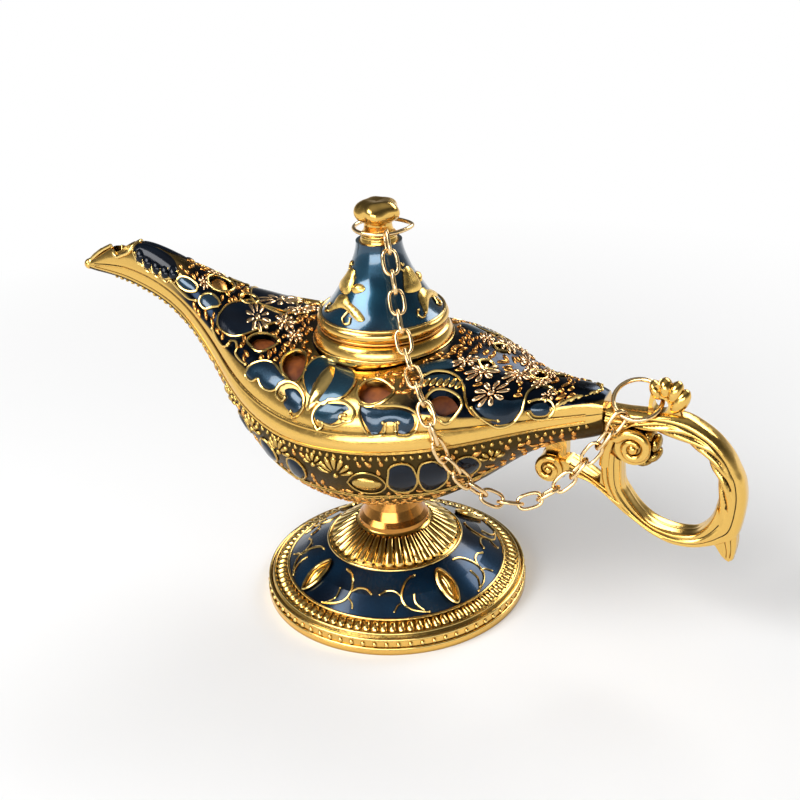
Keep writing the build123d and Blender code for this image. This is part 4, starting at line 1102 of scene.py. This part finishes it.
TAIL = [((96.6, 42), (91.6, 38.6)), ((96.9, 36.4), (92.8, 34.8)), ((97.0, 32.6), (93.9, 31.8)),
        ((96.5, 29.9), (94.4, 29.6))]
STRUT = [((53.2, 49.6), (53.4, 46.2)), ((57.8, 47.3), (58.6, 45.1)), ((60.9, 45.5), (62.8, 42.1)),
         ((64.2, 43.6), (66.8, 38.6)), ((68.2, 41.5), (70.4, 36.4))]
SIDE_DEPTH, TAIL_DEPTH, STRUT_DEPTH = 3.5, 3.0, 3.3
SIDE_MARGIN, ROUNDNESS, CASTING_SIDES, PER_PAIR = 0.4, 2.9, 84, 10
LOOP_TURNOVER = 11.5
# rise below which a face of a handle casting takes the dark metal, as painted shade in the grooves
GROOVE_SHADE_RISE = -0.2
# height and level of the ridges; length, lean, start, height and level of the leaf strands
RIDGE_HEIGHT, RIDGE_LEVEL = 0.5, 0.6
STRAND_LENGTH, STRAND_LEAN, STRAND_START, STRAND_HEIGHT, STRAND_LEVEL = 8.5, 1.35, 0.3, 0.95, 0.55
CREASE_DEPTH, CREASE_PLACE, CREASE_WIDTH = 0.3, 0.3, 0.12


def cushion(piece, pairs, relief, depth=SIDE_DEPTH):
    """Rounded casting between two edges; relief gives its rise from pair, angle and length so far."""
    outer, inner = (curve([(p[0], 0, p[1]) for p in edge], per=PER_PAIR) for edge in zip(*pairs))
    points, rises, length, before = [], [], 0.0, None
    for i, (a, b) in enumerate(zip(outer, inner)):
        middle, reach = (a + b) / 2, (a - b).length / 2 + SIDE_MARGIN
        way = (a - b).normalized()
        length += (middle - before).length if before else 0.0
        before = middle
        for k, (c, d) in enumerate(circle(CASTING_SIDES)):
            r = (abs(c) ** ROUNDNESS + abs(d) ** ROUNDNESS) ** (-1 / ROUNDNESS)
            rise = relief(i / PER_PAIR, 2 * pi * k / CASTING_SIDES, length)
            points.append(middle + (reach + rise) * r * c * way - Vector((0, (depth + rise) * r * d, 0)))
            rises.append(rise)
    faces = ring_faces(len(outer), CASTING_SIDES)
    # painted shade: faces sunk into the grooves take the second, dark material
    paint = [int(sum(rises[j] for j in face) / 4 < GROOVE_SHADE_RISE) for face in faces]
    piece.add(points, faces + end_faces(len(outer), CASTING_SIDES), paint + [0, 0])


def ribbed(pair, angle, length):
    """Three rounded ridges along each side face."""
    return RIDGE_HEIGHT * abs(sin(angle)) ** 0.5 * (abs(sin(1.5 * pi * (cos(angle) + 1))) - RIDGE_LEVEL)


def twisted(pair, angle, length):
    """Smooth outer half, leaf strands turned round the inner half, and a crease between them."""
    weight = min(max((0.2 - cos(angle)) / 0.4, 0), 1)
    strand = abs(sin(pi * (length / STRAND_LENGTH + STRAND_LEAN * cos(angle) + STRAND_START)))
    crease = CREASE_DEPTH * max(0, 1 - abs(cos(angle) - CREASE_PLACE) / CREASE_WIDTH)
    return weight * (STRAND_HEIGHT * strand - STRAND_LEVEL) - crease


def loop_relief(pair, angle, length):
    share = min(max((pair - LOOP_TURNOVER + 1) / 2, 0), 1)
    return (1 - share) * ribbed(pair, angle, length) + share * twisted(pair, angle, length)


def spiral(centre, first_angle, turns, outer, inner, depth, count=56):
    line = []
    for k in range(count):
        t = k / (count - 1)
        radius = outer + (inner - outer) * t ** 0.8
        angle = first_angle + turns * 2 * pi * t
        line.append(Vector((centre[0] + radius * cos(angle), -depth, centre[1] + radius * sin(angle))))
    return line


def lobe(piece, centre, heading, length, width, depth):
    """Rounded leaf lobe standing in the side view."""
    way = Vector((cos(radians(heading)), 0, sin(radians(heading))))
    across = Vector((-way.z, 0, way.x))
    middle = Vector((centre[0], 0, centre[1]))
    unit = Piece()
    ball(unit, (0, 0, 0), 1.0, rings=8, sides=14)
    points = [middle + length * p.z * way + width * p.x * across + Vector((0, depth * p.y, 0))
              for p in unit.points]
    piece.add(points, [tuple(reversed(face)) for face in unit.faces])


VOLUTE, SCROLL = (69.9, 57.4), (47.6, 47.1)
STEM = [(62.6, -2.6, 51), (62.9, -3.0, 55.5), (64.1, -3.3, 59.8)]
# bearing, reach, length and width of the volute's lobes; place, heading, length and width of the thumb's
VOLUTE_LOBES = [(-62, 4.9, 2.5, 1.5), (-28, 5.4, 2.6, 1.6), (8, 5.2, 2.5, 1.5), (42, 4.6, 2.2, 1.3)]
THUMB_LOBES = [((74.4, 73.1), 118, 2.7, 1.6), ((76.7, 73.9), 98, 2.8, 1.9), ((79.0, 73.0), 70, 3.3, 2.0),
               ((80.3, 70.6), 60, 4.0, 2.2)]
VOLUTE_LOBE_TURN, VOLUTE_LOBE_DEPTH, THUMB_LOBE_DEPTH = 72, 3.1, 2.5
# spirals: first angle, turns, outer and inner radius, depth; their wires: first and last radius
VOLUTE_SPIRAL, VOLUTE_WIRE = (radians(150), -1.35, 4.7, 1.2, 3.5), (1.55, 0.85)
SCROLL_SPIRAL, SCROLL_WIRE = (radians(60), 1.3, 3.6, 0.9, 3.2), (1.1, 0.7)
# balls: centre and radius
BALLS = [((VOLUTE[0], -3.7, VOLUTE[1]), 1.5), ((SCROLL[0], -3.4, SCROLL[1]), 1.15),
         ((95.4, -1.2, 29.6), 1.5)]
handle = Piece()
line = vectors(STEM) + spiral(VOLUTE, *VOLUTE_SPIRAL)
tube(handle, line, tapered(*VOLUTE_WIRE, len(line)), 12)
for bearing, reach, length, width in VOLUTE_LOBES:
    lobe(handle, moved(VOLUTE, bearing, reach), bearing + VOLUTE_LOBE_TURN, length, width, VOLUTE_LOBE_DEPTH)
line = spiral(SCROLL, *SCROLL_SPIRAL)
tube(handle, line, tapered(*SCROLL_WIRE, len(line)), 10)
for centre, radius in BALLS:
    ball(handle, centre, radius)
handle.mirror()
cushion(handle, LOOP, loop_relief)
cushion(handle, TAIL, ribbed, depth=TAIL_DEPTH)
cushion(handle, STRUT, ribbed, depth=STRUT_DEPTH)
for centre, heading, length, width in THUMB_LOBES:
    lobe(handle, centre, heading, length, width, THUMB_LOBE_DEPTH)
handle.make("handle_relief", "lamp", "gilt_brass", GOLD, DARK_AND_GROOVE_SHADE)

# spout: rim of the mouth, given by X and Y, and ridge of the lip
MOUTH = [(-84.9, 0), (-83.6, -2.7), (-80.4, -3.1), (-77.6, -2.6), (-76.4, 0), (-77.6, 2.6), (-80.4, 3.1),
         (-83.6, 2.7)]
LIP_RIDGE = [(-94.4, 0, 89.1), (-92, 0, 91.2), (-89.4, 0, 92.9), (-86.6, 0, 94.3)]
MOUTH_WIRE, MOUTH_LIFT, LIP_RADII = 0.62, 0.2, [0.9] * 4 + [0.8] * 4 + [0.7] * 5
LIP_END, LIP_END_RADIUS = (-94.5, 0, 88.4), 1.5
spout, line = Piece(), []
for spot in curve(MOUTH, closed=True, per=4):
    line += dropped(*spot, MOUTH_LIFT)
tube(spout, line, MOUTH_WIRE, 9, closed=True)
tube(spout, curve(LIP_RIDGE, per=4), LIP_RADII)
ball(spout, LIP_END, LIP_END_RADIUS)
spout.make("spout_rim", "lamp", "gilt_brass", WIRE)

# paper floor; away from the object it fades into plain white for what the camera, metal and glass see
FLOOR_SIZE = 12.0
PAPER, FADE_FROM, FADE_TO = 0.92, 0.11, 0.34
bpy.ops.mesh.primitive_plane_add(size=FLOOR_SIZE, location=(0, 0, 0))
floor = bpy.context.object
floor.name = "floor"
paper, paper_tree, paper_shader = new_material("white_paper")
floor.data.materials.append(paper)
paper_look = {"Base Color": (PAPER, PAPER, PAPER, 1), "Roughness": 0.8, "Specular IOR Level": 0.0}
feed(paper_tree, paper_shader, paper_look)
floor_place = add_node(paper_tree, "ShaderNodeTexCoord").outputs["Object"]
reach = add_node(paper_tree, "ShaderNodeVectorMath", {0: floor_place}, operation="LENGTH").outputs["Value"]
paths = add_node(paper_tree, "ShaderNodeLightPath").outputs
seen = reckon(paper_tree, "MAXIMUM", paths["Is Camera Ray"], paths["Is Glossy Ray"])
seen = reckon(paper_tree, "MAXIMUM", seen, paths["Is Transmission Ray"])
fade = reckon(paper_tree, "MULTIPLY", range_share(paper_tree, reach, FADE_FROM, FADE_TO), seen)
white = add_node(paper_tree, "ShaderNodeEmission").outputs["Emission"]
mixed = add_node(paper_tree, "ShaderNodeMixShader", {0: fade, 1: paper_shader.outputs["BSDF"], 2: white})
feed(paper_tree, paper_tree.nodes["Material Output"], {"Surface": mixed.outputs["Shader"]})

# soft studio light: sky from below to above, then lamps by place, target, width, height and watts
SKY_STOPS = [(0.0, 0.42), (0.15, 0.24), (0.45, 0.07), (0.75, 0.07), (1.0, 0.35)]
SOFTBOXES = {
    "key": ((-0.35, -0.45, 0.60), (0, 0, 0.05), 0.50, 0.40, 5.2),
    "front": ((0.10, -0.75, 0.26), (0, 0, 0.05), 0.80, 0.22, 3.8),
    "back": ((0.25, 0.60, 0.50), (0, 0, 0.06), 0.60, 0.25, 3.0),
}
world = bpy.data.worlds.new("studio")
bpy.context.scene.world = world
world.use_nodes = True
sky = world.node_tree
sky_place = add_node(sky, "ShaderNodeTexCoord").outputs["Generated"]
sky_height = add_node(sky, "ShaderNodeSeparateXYZ", {"Vector": sky_place}).outputs["Z"]
shade = ramp(sky, sky_height, [(height, grey(value)) for height, value in SKY_STOPS])
feed(sky, sky.nodes["Background"], {"Color": shade})
for name, (place, target, width, height, watts) in SOFTBOXES.items():
    lamp = bpy.data.lights.new(name, "AREA")
    lamp.shape = "RECTANGLE"
    lamp.size, lamp.size_y, lamp.energy = width, height, watts
    made = stand(name, lamp)
    made.location = place
    made.rotation_euler = (Vector(target) - Vector(place)).to_track_quat("-Z", "Y").to_euler()

# camera that matches the photograph: its target on the lamp's axis falls on a pixel off the middle
AIM_HEIGHT, DISTANCE, SWING, LIFT, ROLL = 0.045, 0.35, radians(26), radians(28.25), radians(-3.15)
back = Vector((sin(SWING) * cos(LIFT), -cos(SWING) * cos(LIFT), sin(LIFT)))
level = Vector((cos(SWING), sin(SWING), 0))
steep = Vector((-sin(SWING) * sin(LIFT), cos(SWING) * sin(LIFT), cos(LIFT)))
right = cos(ROLL) * level + sin(ROLL) * steep
upward = -sin(ROLL) * level + cos(ROLL) * steep
PIXELS, FOCAL_PIXELS, TARGET_PIXEL, SENSOR = 800, 1242.4, (390, 442), 36.0
aim = Vector((TARGET_PIXEL[0] - PIXELS / 2, PIXELS / 2 - TARGET_PIXEL[1], -FOCAL_PIXELS)).normalized()
turn = Matrix((right, upward, back)).transposed() @ aim.rotation_difference(Vector((0, 0, -1))).to_matrix()
camera = bpy.data.cameras.new("camera")
camera.sensor_width = SENSOR
camera.lens = SENSOR * FOCAL_PIXELS / PIXELS
camera.clip_start = 0.01
eye = stand("camera", camera)
eye.matrix_world = Matrix.Translation(Vector((0, 0, AIM_HEIGHT)) + DISTANCE * back) @ turn.to_4x4()
bpy.context.scene.camera = eye
bpy.context.scene.view_settings.view_transform = "Standard"
